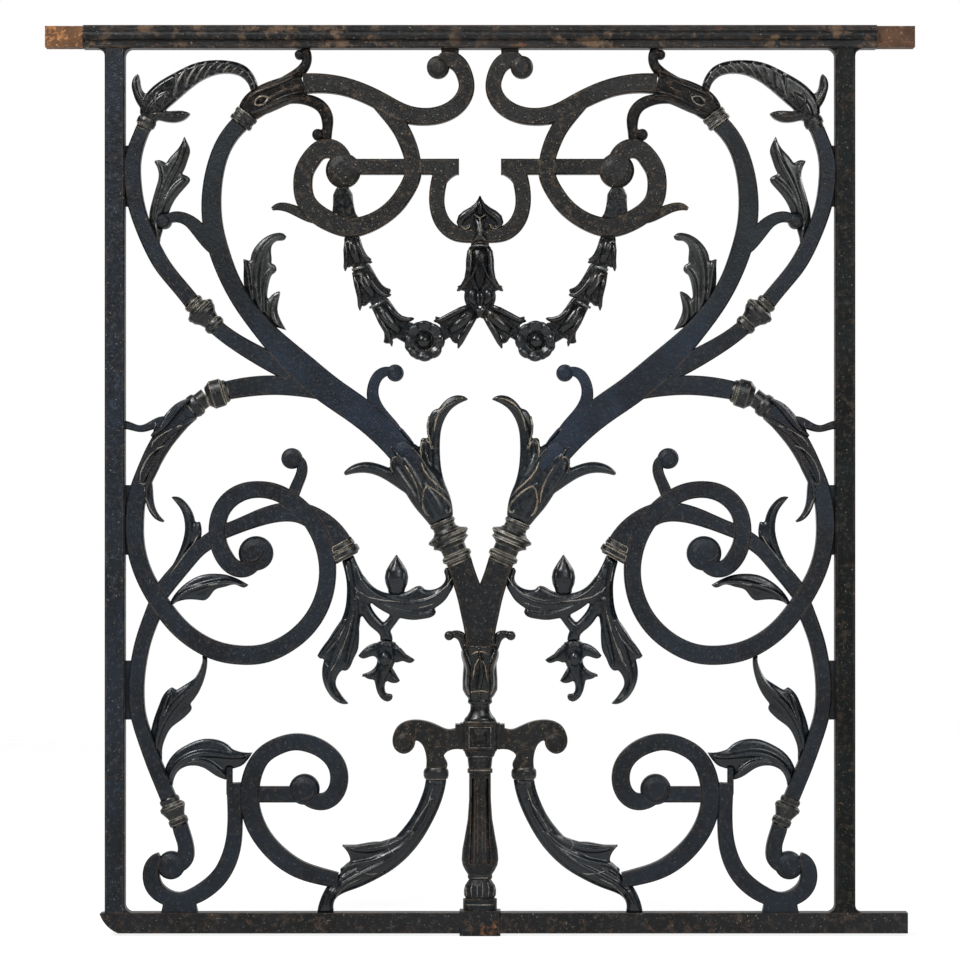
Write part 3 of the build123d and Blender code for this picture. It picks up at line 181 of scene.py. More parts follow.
# Hand rail: a cast moulding with a half-round bead, black with large brown patches where hands wore it.
# Its two ends are ground plain for the joint and bare, with an even orange rust that is darker on the right.
hand_iron = weathered_iron("hand_iron", paint=(0.0070, 0.0072, 0.0078, 1), worn=(0.115, 0.070, 0.040, 1),
                           rust=red_rust, patches=0.85, rust_from=0.64, wear=0.5, gloss=0.34, patch_scale=60.0,
                           specks=0.7)
bare_rust = weathered_iron("bare_rust", paint=(0.205, 0.092, 0.038, 1), worn=(0.080, 0.036, 0.018, 1),
                           rust=(0.300, 0.130, 0.045, 1), patches=0.7, rust_from=0.50, wear=0.4, gloss=0.6,
                           shine=0.2)
toned_along(bare_rust, "X", -0.1, 0.1, tone=(0.42, 0.46, 0.60, 1))
clad(nodes["hand_rail"], hand_iron)
clad(nodes["rail_ends"], bare_rust)

# Scroll bars: flat cast bars with chamfered edges, bent into volutes, branches and rings.
# Blue-black paint with fine grit, greyer high on the trunks, and brown where the upper scrolls are rubbed.
scroll_paint = weathered_iron("scroll_paint", blue_black, brown_iron, red_rust, patches=0.2, rust_from=0.73,
                              wear=0.6, specks=0.3)
trunk_blue = weathered_iron("trunk_blue", paint=(0.0072, 0.0145, 0.0275, 1), worn=brown_iron, rust=red_rust,
                            patches=0.08, rust_from=0.74, wear=0.5, specks=0.2)
toned_along(trunk_blue, "Z", 0.52, 0.70, tone=(0.90, 0.74, 0.52, 1))
rubbed_paint = weathered_iron("rubbed_paint", paint=(0.0072, 0.0074, 0.0078, 1), worn=rubbed_gold, rust=red_rust,
                              patches=0.30, rust_from=0.68, wear=0.5, specks=0.9)
for side in ("left_", "right_"):
    for bar in ("outer_branch", "side_branch", "volute", "lower_stem", "lower_volute", "base_scroll"):
        clad(nodes[side + bar], scroll_paint)
    for bar in ("top_scroll", "ring_scroll"):
        clad(nodes[side + bar], rubbed_paint)
    clad(nodes[side + "main_scroll"], trunk_blue)
clad(nodes["tendrils"], scroll_paint)
clad(nodes["fret_bracket"], rubbed_paint)
clad(nodes["crossarm"], rubbed_paint)

# Centre column: baluster, boss, leafy socket and fork, cast in one with the crossarms.
# Black paint, rubbed to a golden brown on the mouldings.
column_paint = weathered_iron("column_paint", paint=(0.0055, 0.0066, 0.0082, 1), worn=rubbed_gold, rust=red_rust,
                              patches=0.15, rust_from=0.72, wear=0.6, gloss=0.28)
for name in ("baluster", "boss", "fork"):
    clad(nodes[name], column_paint)

# Collars: turned rings that cover each joint of the bars, shrunk or cast on.
# Crisp and smooth, and rubbed golden on every ridge, the rub made pale enough to be a painted highlight along each
# ring's edge.
# Painted highlight: the pale worn colour on the ring edges stands in for bright edge highlights as well as for
# wear.
collar_rub_and_highlight = weathered_iron("collar_rub_and_highlight", paint=(0.0055, 0.0062, 0.0072, 1), worn=(0.400, 0.350, 0.270, 1),
                             rust=red_rust, patches=0.06, wear=1.0, gloss=0.26, grit=0.15, shine=0.35)
clad(nodes["collars"], collar_rub_and_highlight)

# Cast ornament: leaves, husks, horns, heads and flowers. Sand casting leaves no sharp edge on them, so
# each is taken from the plain solid and softened all over. Painted shade darkens the hollows, and the ridges are
# rubbed.
leaf_black = weathered_iron("leaf_black", paint=(0.0050, 0.0078, 0.0110, 1), worn=(0.090, 0.084, 0.074, 1),
                            rust=red_rust, patches=0.04, rust_from=0.76, wear=0.35, gloss=0.2, grit=0.08,
                            shine=0.4, specks=0.15)
leaf_grey = weathered_iron("leaf_grey", paint=(0.0120, 0.0135, 0.0140, 1), worn=(0.130, 0.112, 0.085, 1),
                           rust=red_rust, patches=0.15, rust_from=0.74, wear=0.4, gloss=0.22, grit=0.08,
                           shine=0.5, specks=0.2)
husk_black = weathered_iron("husk_black", paint=(0.0040, 0.0052, 0.0064, 1), worn=rubbed_gold, rust=red_rust,
                            patches=0.10, rust_from=0.74, wear=0.45, gloss=0.16, grit=0.15, shine=0.4, specks=0.3)
horn_brown = weathered_iron("horn_brown", paint=(0.0050, 0.0050, 0.0052, 1), worn=(0.075, 0.046, 0.028, 1),
                            rust=red_rust, patches=0.45, rust_from=0.66, wear=0.6, gloss=0.32, grit=0.5,
                            shine=0.12)
coarse, medium, fine = 0.0010, 0.0009, 0.0008      # grain of the skin, as fine as the piece's carving needs
outline_lean = 0.3                                 # a face that looks less than this to the front is an outline
crown_reach = 0.005                                # how far in from its outline a leaf thins
calyx_relief, husk_relief = 0.0108, 0.0050         # how far these pieces stand out from the middle plane


def crowned(piece, thin):
    """Thin a piece towards its outline, as a pattern carver rounds it over."""
    rim = [corner.co for corner in piece.data.vertices if abs(corner.normal.y) < outline_lean]
    outline = kdtree.KDTree(len(rim))
    for i, place in enumerate(rim):
        outline.insert((place.x, 0, place.z), i)
    outline.balance()
    for corner in piece.data.vertices:
        inwards = min(outline.find((corner.co.x, 0, corner.co.z))[2] / crown_reach, 1.0)
        corner.co.y *= 1 - thin * (1 - inwards) ** 2


def softened(node_name, grain_size, rounds, material, thin=0.0, relief=None):
    """A copy of a node's solid under one even skin, smoothed so many rounds, that stands for the node."""
    cast = bpy.data.objects.new(node_name + "_cast", nodes[node_name].data.copy())
    bpy.context.scene.collection.objects.link(cast)
    bpy.context.view_layer.objects.active = cast
    cast.select_set(True)
    bpy.ops.object.mode_set(mode="EDIT")
    bpy.ops.mesh.select_all(action="SELECT")
    bpy.ops.mesh.remove_doubles(threshold=1e-5)
    bpy.ops.mesh.normals_make_consistent(inside=False)
    bpy.ops.object.mode_set(mode="OBJECT")
    bpy.ops.object.modifier_add(type="REMESH")
    skin = cast.modifiers[-1]
    skin.mode = "VOXEL"
    skin.voxel_size = grain_size
    skin.use_smooth_shade = True
    bpy.ops.object.modifier_apply(modifier=skin.name)
    if relief:
        for corner in cast.data.vertices:
            corner.co.y = max(-relief, min(relief, corner.co.y))
    if thin:
        crowned(cast, thin)
    bpy.ops.object.modifier_add(type="SMOOTH")
    ease = cast.modifiers[-1]
    ease.factor = 0.5
    ease.iterations = rounds
    bpy.ops.object.modifier_apply(modifier=ease.name)
    clad(cast, material)
    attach(cast, "root")
    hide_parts(node_name)
    cast.select_set(False)
    return cast


casts = {"upper_leaves": softened("upper_leaves", coarse, 5, leaf_grey, thin=0.35)}
for node_name in ("volute_leaves", "lower_leaves", "sprays"):
    casts[node_name] = softened(node_name, coarse, 5, leaf_black, thin=0.35)
for node_name in ("left_acanthus_arm", "right_acanthus_arm"):
    casts[node_name] = softened(node_name, coarse, 4, leaf_black, thin=0.2)
for node_name in ("socket_curls", "socket"):
    casts[node_name] = softened(node_name, coarse, 3, husk_black)
casts["blooms"] = softened("blooms", coarse, 4, leaf_black, thin=0.2)
casts["calyxes"] = softened("calyxes", coarse, 8, leaf_black, thin=0.25, relief=calyx_relief)
for node_name in ("festoons", "centre_drop", "centre_finial"):
    casts[node_name] = softened(node_name, medium, 3, husk_black, relief=husk_relief)
casts["rosettes"] = softened("rosettes", fine, 3, husk_black)
casts["horns"] = softened("horns", fine, 12, husk_black)
casts["beast_heads"] = softened("beast_heads", medium, 3, horn_brown)

# Calyxes: folded leaves at the foot of each trunk, with the raised lines that a carver cuts along their folds.
# The lines stand about a millimetre proud, and years of hands have rubbed them to a golden brown.
thread_gold = weathered_iron("thread_gold", paint=(0.0350, 0.0310, 0.0250, 1), worn=(0.300, 0.235, 0.150, 1),
                             rust=red_rust, patches=0.8, wear=0.9, gloss=0.24, grit=0.2, shine=0.6)
rib_grey = weathered_iron("rib_grey", paint=(0.0300, 0.0305, 0.0300, 1), worn=(0.230, 0.210, 0.175, 1),
                          rust=red_rust, patches=0.5, wear=0.9, gloss=0.2, grit=0.2, shine=0.6)
bead_bright = weathered_iron("bead_bright", paint=(0.0500, 0.0540, 0.0550, 1), worn=(0.180, 0.165, 0.135, 1),
                             rust=red_rust, patches=0.4, gloss=0.16, grit=0.15, shine=0.9)
# Painted shade: near-black for the eye hollows, laid on as a raised piece.
painted_eye_shade = weathered_iron("painted_eye_shade", paint=(0.0020, 0.0020, 0.0022, 1), worn=(0.0060, 0.0050, 0.0045, 1),
                           rust=red_rust, patches=0.1, rust_from=0.90, wear=0.1, gloss=0.5, grit=0.2, specks=0.0)
mm_per_m = 1000
middle_across, ground_down = 480, 936      # the panel's middle and its ground on the full-size drawing, in mm
before_panel, backwards = -1, Vector((0, 1, 0))


def stops_along(path, grounds, fullness):
    """A path's places in the frame, each with its half-width. A place without a depth of its own lies on the
    front of what is under it, and is left out where nothing is."""
    stops = []
    for across, down, half, *given in path:
        x, z = (across - middle_across) / mm_per_m, (ground_down - down) / mm_per_m
        if given:
            depth = -given[0] / mm_per_m
        else:
            looks = [ground.ray_cast(Vector((x, before_panel, z)), backwards) for ground in grounds]
            found = [place.y for hit, place, normal, face in looks if hit]
            if not found:
                continue
            depth = min(found)
        stops.append((Vector((x, depth, z)), half / mm_per_m * fullness))
    return stops


def turned_by(angle):
    """An angle brought within half a turn either way."""
    return (angle + pi) % (2 * pi) - pi


def drawn_bar(stops, swell, sides):
    """A round bar through the stops, in the mesh that is open. Its end is turned halfway into each bend."""
    leans = [atan2(b.z - a.z, b.x - a.x) for (a, _), (b, _) in zip(stops, stops[1:])]
    place, half = stops[0]
    bpy.ops.mesh.select_all(action="DESELECT")
    bpy.ops.mesh.primitive_circle_add(vertices=sides, radius=half, fill_type="NGON", location=place,
                                      rotation=(0, pi / 2 - leans[0], 0))
    bpy.ops.transform.resize(value=(1, swell, 1), center_override=place)
    facing = leans[0]
    for i in range(1, len(stops)):
        place, half = stops[i]
        last_place, last_half = stops[i - 1]
        bpy.ops.mesh.extrude_region_move(TRANSFORM_OT_translate={"value": place - last_place})
        ahead = leans[min(i, len(leans) - 1)]
        wanted = leans[i - 1] + turned_by(ahead - leans[i - 1]) / 2
        bpy.ops.transform.rotate(value=turned_by(wanted - facing), orient_axis="Y", center_override=place)
        bpy.ops.transform.resize(value=(half / last_half,) * 3, center_override=place)
        facing = wanted


def threads(name, under, paths, material=thread_gold, fullness=1.0, swell=1.0, sides=8):
    """Raised lines on the front of a piece. Each path has places on the drawing, in mm across and down, with a
    half-width and, off the piece, a depth. They repeat on the other half and on the back. fullness scales the
    widths, and swell is how thick a line is for its width."""
    grounds = under if isinstance(under, tuple) else (under,)
    bpy.ops.object.add(type="MESH")
    piece = bpy.context.object
    piece.name = name
    bpy.ops.object.mode_set(mode="EDIT")
    for path in paths.values():
        drawn_bar(stops_along(path, grounds, fullness), swell, sides)
    bpy.ops.object.mode_set(mode="OBJECT")
    bpy.ops.object.modifier_add(type="MIRROR")
    twin = piece.modifiers[-1]
    twin.use_axis = (True, True, False)
    twin.use_mirror_merge = False
    bpy.ops.object.modifier_apply(modifier=twin.name)
    bpy.ops.object.shade_smooth()
    clad(piece, material)
    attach(piece, "root")
    piece.select_set(False)


threads("calyx_threads", casts["calyxes"], dict(
    rolled_lip=[(429.5, 516, 0.8), (426, 513.5, 1.3), (423.5, 508, 1.2), (422.3, 501, 1.1), (423, 494, 1.1),
                (424.6, 489.5, 1.1), (427, 486, 1.2), (431, 487.5, 1.1), (437, 491.5, 1.1), (443, 496.5, 1.1),
                (448, 502.5, 1.2), (450.8, 508, 1.3), (450, 512.3, 1.3), (447, 512.6, 1.1), (445.6, 509.5, 0.8)],
    long_vein=[(421, 462, 0.6), (424, 470, 1.0), (429, 477, 1.1), (436, 484, 1.1), (443, 490, 1.0),
               (449, 497.5, 0.6)],
    outer_vein=[(405, 465, 0.6), (409, 471.5, 1.0), (413.5, 479, 1.1), (417, 487, 1.1), (419, 495, 1.0),
                (419.8, 503, 0.6)],
    tip_fold=[(391, 470, 0.7), (390.8, 463.5, 1.1), (393, 458, 1.3), (396.5, 456.6, 1.1), (398, 459.5, 0.7)],
    upper_lip=[(433.5, 409.5, 0.7), (429.5, 416, 1.2), (427.6, 425, 1.3), (428, 433, 1.2), (430, 441, 1.0),
               (433, 449, 0.6)],
    inner_fold=[(424.5, 438.5, 0.7), (421.5, 444, 1.2), (420.5, 451, 1.1), (421.5, 458, 0.6)],
    inner_vein=[(425.5, 439, 0.7), (429.5, 443, 1.1), (431.5, 449, 0.7)],
    crown_edge=[(463, 398, 0.6), (454, 399.5, 1.1), (446, 404, 1.2), (440, 411, 1.1), (436, 420, 1.0),
                (434, 431, 0.6)],
))

# Animal heads: a raised rim round each eye, a near-black piece of painted shade for the hollow in it, and locks of
# hair combed back over the horn. Rubbed golden on the rim, and black as painted shade in the eye hollows.
threads("head_threads", casts["beast_heads"], dict(
    eye_rim=[(255, 103, 0.8), (256, 99.5, 1.2), (259.5, 96.8, 1.3), (264, 96.2, 1.3), (268.5, 97.4, 0.9),
             (267, 100.5, 1.2), (263.5, 103.8, 1.5), (259, 105.6, 1.5), (255.6, 104.8, 1.1), (254.9, 103.2, 0.7)],
))
threads("hair_lines", casts["beast_heads"], dict(
    brow_lock=[(247, 99.5, 0.6), (256, 92.5, 1.4), (266, 88.5, 1.5), (278, 84, 1.4), (290, 78.5, 1.2),
               (299, 71, 0.6)],
    lower_lock=[(268, 103.5, 0.6), (279, 98.5, 1.1), (291, 93.8, 1.2), (303, 91, 1.0), (313, 93, 0.6)],
    upper_lock=[(270, 95, 0.5), (282, 91, 1.0), (293, 86, 1.0), (302, 79.5, 0.9), (307.5, 71.5, 0.5)],
), husk_black, fullness=0.9)
# Painted shade: a near-black piece where each eye's hollow falls into shade.
threads("painted_eye_shade_pits", casts["beast_heads"], dict(
    eye_hollow=[(257.5, 101.8, 0.8), (259.5, 101.2, 2.4), (262, 100.6, 3.0), (264.5, 99.8, 2.2),
                (266, 99.2, 0.6)],
), painted_eye_shade)

# Horns: twist ribs that get narrower towards the tip, and a cup of leaves folded round the root.
# The ribs are worn to grey iron, and the cup keeps its black paint.
threads("horn_ribs", casts["horns"], dict(
    rib_1=[(188, 67, 0.4), (183, 72.5, 1.2), (178, 81, 1.6), (174.5, 91, 1.5), (173.5, 99, 0.5)],
    rib_2=[(198.5, 64.5, 0.4), (193.5, 70, 1.1), (188.5, 78, 1.4), (185.5, 87, 1.3), (185.3, 92, 0.5)],
    rib_3=[(207.5, 63, 0.4), (202, 68.5, 1.1), (197, 76, 1.2), (194, 82.5, 0.5)],
    rib_4=[(216, 62.5, 0.4), (210.5, 67, 1.1), (205, 74, 1.2), (203, 78.5, 0.5)],
    rib_5=[(224, 62.5, 0.4), (218.5, 67, 1.0), (213.5, 73, 1.0), (212.3, 75, 0.5)],
    rib_6=[(231.5, 64, 0.4), (226.5, 67.5, 1.0), (222, 71.5, 0.9), (221, 73, 0.5)],
    rib_7=[(238, 66.5, 0.4), (234, 69, 0.9), (230.5, 72.3, 0.5)],
    rib_8=[(244, 70.5, 0.4), (241, 72.3, 0.9), (238.5, 74.5, 0.5)],
    rib_9=[(249, 76, 0.4), (246.5, 77.4, 0.9), (244, 79, 0.5)],
    rib_10=[(253, 83.3, 0.4), (250.8, 84.5, 0.8), (248.3, 86, 0.4)],
), rib_grey, fullness=1.1, swell=1.1)
threads("horn_cups", casts["horns"], dict(
    outer_leaf=[(137.5, 75, 0.4), (134, 81, 1.5), (134.2, 88, 1.9), (137.5, 95, 1.9), (142, 101, 1.6),
                (145.5, 107, 0.6)],
    inner_leaf=[(161, 89, 0.5), (157, 93, 1.6), (154.5, 99, 2.2), (155.5, 105, 2.2), (158.5, 109, 1.4),
                (160.5, 112, 0.5)],
    leaf_fold=[(167, 93, 0.4), (165, 98, 1.3), (162, 104, 1.2), (160.5, 107, 0.5)],
    root_roll=[(150, 114, 0.5), (158, 113.2, 1.6), (166, 112.8, 1.8), (175, 114, 1.5), (185, 114, 0.4)],
), husk_black, swell=0.8)

# Garlands: bell husks strung on each other's necks, with a flower on each string and a larger bell at the centre.
# Each bell has a bright bead round its neck, a seed below it, and lobes folded back along its length.
threads("husk_lobes", casts["festoons"], dict(
    bell_1_throat=[(351, 238, 4.5, 4), (352.5, 246, 5.5, 5), (355, 255, 4.5, 5.5), (358, 263, 3.0, 5)],
    bell_1_left_lobe=[(346, 238, 1.5, 5), (345.5, 250, 2.4, 6), (346, 261, 2.4, 6), (345, 267, 1.8, 5),
                      (344.8, 270.5, 0.5, 4.5)],
    bell_1_right_lobe=[(357, 239, 1.5, 5), (359, 247, 2.5, 6), (362.5, 255, 2.4, 6), (367, 260, 2.2, 5.5),
                       (370, 261.5, 1.5, 5), (372, 261.6, 0.4, 4.5)],
    bell_2_throat=[(358.5, 270, 4.8, 4), (362.5, 278, 6.0, 5), (367.5, 287, 5.0, 5.5), (373, 296, 3.2, 5)],
    bell_2_left_lobe=[(353.5, 272, 1.8, 5), (356.5, 284, 2.8, 6), (359.5, 297, 2.6, 6), (359.5, 306, 1.9, 5),
                      (359.6, 310, 0.5, 4.5)],
    bell_2_right_lobe=[(365, 271, 1.6, 5), (370.5, 281, 2.6, 6.5), (377.5, 290, 2.6, 6.5), (384.5, 295, 2.4, 5.5),
                       (389, 294.5, 1.6, 5), (391, 294, 0.4, 4.5)],
    bell_3_throat=[(379, 306, 5.0, 4), (384, 314, 6.2, 5), (391, 323, 5.5, 5.5), (400, 332, 4.0, 5)],
    bell_3_left_lobe=[(374.5, 310, 1.8, 5), (381, 322, 2.8, 6), (387.5, 333, 2.8, 6), (391, 342, 2.0, 5),
                      (391.6, 346, 0.5, 4.5)],
    bell_3_right_lobe=[(386, 303, 1.8, 5), (393, 312, 2.8, 6.5), (401, 318, 2.8, 6.5), (408, 319.5, 2.5, 5.5),
                       (412, 318.4, 1.6, 5), (414, 318, 0.4, 4.5)],
    end_bell_throat=[(474, 309, 4.6, 4), (466, 317, 6.0, 5), (458, 325, 5.5, 5.5), (449, 331, 3.6, 5)],
    end_bell_upper_lobe=[(471, 305, 2.0, 5), (461, 309.5, 3.0, 6.5), (449, 315.5, 2.8, 6.5), (440, 320, 2.4, 6),
                         (435.5, 320.6, 1.6, 5), (433.5, 320.6, 0.4, 4.5)],
    end_bell_lower_lobe=[(476.5, 315, 1.8, 5), (470, 324, 3.2, 5), (463.8, 334, 3.6, 4.5), (460, 342, 3.0, 4),
                         (458, 348, 0.7, 3.5)],
    end_bell_seed=[(455, 321.5, 0.6, 8), (462, 316.5, 1.0, 9.5), (468, 313.5, 1.2, 9.5), (472, 315, 0.9, 9),
                   (470, 318, 0.6, 8.5)],
    knot=[(480, 317, 3.0, 1), (477, 311, 4.5, 1), (473, 307, 4.0, 1)],
), husk_black, swell=0.75, sides=12)
threads("husk_beads", casts["festoons"], dict(
    bell_2_neck=[(351.5, 269.5, 1.0, 4), (358.5, 267.8, 1.8, 6.5), (366, 266, 1.0, 4)],
    bell_3_neck=[(369, 307.5, 1.0, 4), (377, 304.3, 1.8, 6.5), (384.5, 300, 1.0, 4)],
    bell_1_seed=[(345.5, 243, 0.4, 8.5), (347.5, 241, 0.8, 9.2), (350, 243, 0.9, 9.2), (349.5, 246.5, 0.8, 9.2),
                 (350.5, 250, 0.4, 8.5)],
    bell_2_seed=[(356.5, 274.5, 0.4, 9), (359, 273.5, 0.9, 9.6), (361.5, 277, 1.0, 9.8), (361.5, 282, 0.9, 9.8),
                 (364.5, 287, 0.4, 9)],
    bell_3_seed=[(378, 308, 0.4, 9), (380.5, 307.5, 0.9, 9.8), (383, 311, 1.0, 9.9), (383.5, 315, 0.9, 9.9),
                 (387, 320, 0.4, 9)],
), bead_bright, swell=0.9)
threads("drop_folds", casts["centre_drop"], dict(
    upper_neck_ring=[(472.5, 242.3, 0.8, 4), (480, 241.3, 1.5, 6.5), (487.5, 242.3, 0.8, 4)],
    lower_neck_ring=[(472, 245.5, 0.8, 4), (480, 245.0, 1.4, 7), (488, 245.5, 0.8, 4)],
), bead_bright, swell=0.9)
threads("drop_lobes", casts["centre_drop"], dict(
    middle_lobe=[(480, 246.5, 5.0, 4), (480, 251, 9.5, 5), (480, 260, 9.0, 5.5), (480, 268, 8.0, 6),
                 (480, 277, 6.0, 6), (480, 284, 3.6, 6), (480, 291, 0.8, 5)],
    side_lobe=[(473.5, 247, 2.2, 4), (470.6, 251.5, 3.6, 4.5), (469.8, 260, 4.0, 5), (469.4, 269, 3.7, 6),
               (467, 279, 3.0, 6.5), (462.5, 286, 2.4, 6), (458.5, 289.3, 1.6, 5), (456.8, 290.3, 0.4, 4.5)],
    middle_vein=[(480, 253, 0.4, 11.3), (480, 262, 0.9, 12.0), (480, 275, 0.8, 11.2), (480, 290, 0.4, 6.5)],
    side_vein=[(479, 254, 0.4, 11), (476.5, 266, 0.8, 11), (472, 276, 0.8, 9.5), (464, 285, 0.6, 8.5),
               (459, 288.5, 0.4, 6.5)],
    hanging_lobe=[(474.5, 288, 3.0, 4.5), (471.5, 294, 4.2, 5), (472, 300, 3.8, 5), (476, 304.5, 2.0, 4.5)],
    hanging_seed=[(478.5, 291, 1.2, 6), (478.0, 298, 1.6, 6.5), (478.5, 305, 1.0, 5.5)],
), husk_black, swell=0.75, sides=12)
rosette_across, rosette_down, petal_count = 424.5, 340.7, 8
petal_shape = ((6.5, 3.4, 5.0), (10.0, 5.0, 5.8), (14.0, 6.8, 7.6), (17.3, 7.0, 9.0), (19.3, 4.6, 9.0),
               (20.3, 1.4, 8.0))       # reach from the centre, half-width and depth
vein_shape = ((11.0, 0.3, 7.6), (15.0, 0.7, 10.2), (19.0, 0.4, 10.6))
petals = {}
for i in range(petal_count):
    out, up = sin(i * pi / 4), cos(i * pi / 4)
    for part, shape in (("petal", petal_shape), ("vein", vein_shape)):
        petals[f"{part}_{i}"] = [(rosette_across + out * reach, rosette_down - up * reach, half, depth)
                                 for reach, half, depth in shape]
petals["button"] = [(416.5, 341.2, 1.0, 5), (418.5, 341.2, 4.6, 6), (421, 341.2, 6.3, 6.8), (423.5, 341.2, 6.9, 7),
                    (426, 341.2, 6.3, 6.8), (428.5, 341.2, 4.6, 6), (430.5, 341.2, 1.0, 5)]
threads("rosette_petals", casts["rosettes"], petals, leaf_black, swell=0.32, sides=12)

# Finial: a heart of two lobes that curl back under it, on a stem that crosses the lyre.
# Cast with the lyre and rubbed along its edges.
threads("finial_lobes", casts["centre_finial"], dict(
    curled_lobe=[(480, 197, 1.0, 5), (477.5, 204, 2.6, 5.5), (472.5, 209.5, 3.6, 6), (466, 214, 4.3, 6.5),
                 (461.6, 217.8, 4.2, 6.5), (459.8, 222, 3.4, 6.5), (461, 225.8, 2.6, 6.5),
                 (464.5, 227.6, 2.0, 6.5), (468, 226.4, 1.6, 7), (469.6, 223, 1.1, 7.5)],
    tip=[(480, 196, 1.0, 6), (480, 203, 3.0, 7), (480, 210, 3.6, 7.5), (480, 217, 2.0, 7)],
    crossing_stem=[(474, 216, 1.0, 6), (478, 222, 3.0, 8), (481, 230, 4.0, 10), (479, 237, 3.6, 11),
                   (473.5, 241, 1.4, 9)],
), husk_black, swell=0.8, sides=12)
threads("finial_edges", casts["centre_finial"], dict(
    stem_edge=[(474, 214, 0.4, 8), (479.5, 218, 0.8, 10.5), (481, 226, 0.8, 13.5), (480, 234, 0.8, 14),
               (475, 240, 0.4, 11.5)],
    lobe_edge=[(461, 226.5, 0.4, 8), (465, 229, 0.8, 8.5), (469, 227.5, 0.6, 8.5), (470.5, 224, 0.3, 8.5)],
))

# Seats: small fillets of iron where one casting meets the next, fettled flush and painted with the bars.
# Each fills the corner between a bar's end and the collar or leaf that it runs into.
threads("trunk_seats", casts["calyxes"], dict(
    trunk_seat=[(397, 443, 1.0, 7.6), (400, 446, 7.5, 8.2), (405, 451.5, 9.0, 8.8), (411, 458, 8.0, 9.3),
                (417, 466, 5.2, 9.6), (422.5, 474, 1.0, 9.4)],
), trunk_blue, swell=0.14, sides=12)
threads("curl_fillets", casts["calyxes"], dict(
    curl_fillet=[(398, 425.5, 0.4, 3.5), (402, 430.2, 1.5, 3.5), (409, 438.6, 1.5, 3.5), (416, 447.5, 0.6, 3.5)],
), trunk_blue, swell=4.0)
threads("fork_seats", nodes["fork"], dict(
    collar_seat=[(452, 562.8, 1.0, 3.5), (462, 560.8, 1.7, 3.5), (471.5, 558.8, 1.2, 3.5)],
    spray_seat=[(340, 541.5, 0.8, 3.0), (345, 539.8, 1.5, 3.0), (351, 537.6, 1.0, 3.0)],
), column_paint, swell=2.4)

# Volutes: discs with a turned-back edge in their eyes, and lines along the leaves that wrap the bars.
# Cast with the scrolls: the edges painted with them, the leaf lines rubbed grey.


def eye_rim(across, down, reach, half):
    """The edge round a volute's eye: an arc that draws in by a tenth of its reach, and thins, for each radian."""
    places = []
    for i in range(14):
        t = i * pi / 8
        drawn_in = 1 - 0.10 * t
        places.append((across + cos(t) * reach * drawn_in, down + sin(t) * reach * drawn_in, half * (1 - t / 6.0)))
    return places


threads("eye_rims", nodes["left_volute"], {"rim": eye_rim(250.5, 551, 11.5, 1.4)}, scroll_paint)
threads("lower_eye_rims", nodes["left_lower_volute"], {"rim": eye_rim(303, 790, 11, 1.3)}, scroll_paint)
threads("volute_wraps", nodes["left_volute"], dict(
    upper_wrap=[(193, 421, 0.5), (180, 426, 1.1), (168, 431, 1.3), (158, 437, 1.3), (152.5, 443, 1.1),
                (151.5, 447, 0.5)],
    upper_tip=[(153.3, 419, 0.5), (155.5, 424.4, 1.1), (153, 431, 0.5)],
    outer_wrap=[(166, 445, 0.5), (157, 449, 1.1), (150, 455, 1.3), (144.5, 463, 1.3), (140.5, 473, 1.1),
                (139.8, 482, 0.5)],
    outer_tip=[(139, 483, 0.4), (144.4, 484.4, 1.0), (148, 481, 0.5)],
    lower_wrap=[(144.4, 486.7, 0.5), (145.5, 497.8, 1.2), (150, 509, 1.3), (156.7, 517.8, 1.1),
                (164.4, 522, 0.5)],
    crown_wrap=[(186.7, 396.7, 0.5), (175.5, 404.4, 1.1), (167.8, 413.3, 1.2), (161, 426.7, 0.5)],
), rib_grey, fullness=0.8)

# Leaves and sprays: veins and folds of the thin leaves, from the root of each to its tip.
# Fine raised lines, cast with the leaf and rubbed grey.
threads("leaf_veins", (casts["volute_leaves"], nodes["tendrils"], nodes["left_volute"]), dict(
    upper_vein=[(200, 531, 0.4), (193, 544, 0.9), (182, 558, 0.9), (171, 573, 0.4)],
    lower_vein=[(170, 602, 0.4), (182, 589, 1.0), (195.5, 585.5, 1.1), (213, 584.4, 1.0), (231, 580, 0.4)],
), rib_grey, fullness=0.9)
threads("spray_veins", casts["sprays"], dict(
    hanging_vein=[(354, 610, 0.4), (348, 633, 0.9), (341.7, 650, 0.9), (337.5, 663, 0.4)],
), rib_grey, fullness=0.9)
threads("spray_lines", (casts["sprays"], nodes["fork"]), dict(
    long_fold=[(345.5, 562, 0.4), (349, 580, 0.9), (357, 591, 1.0), (369, 597.5, 1.0), (384, 600.5, 0.9),
               (400, 602, 0.4)],
    curled_tip=[(404, 593.5, 0.4), (412, 590, 0.8), (418, 587, 0.9), (422, 587.5, 0.8), (421.5, 591, 0.4)],
    second_fold=[(414, 601, 0.4), (426, 598.5, 0.8), (437, 594, 0.8), (447, 586, 0.8), (452.5, 577, 0.4)],
    short_fold=[(418, 608, 0.4), (428, 606, 0.8), (436, 602.5, 0.4)],
    hanging_fold=[(323, 657, 0.4), (331, 648, 0.8), (339, 638, 0.8), (345, 626, 0.4)],
    hanging_tip=[(325, 663, 0.4), (331, 671, 0.8), (337, 661, 0.8), (341, 648, 0.4)],
), rib_grey, fullness=0.8)

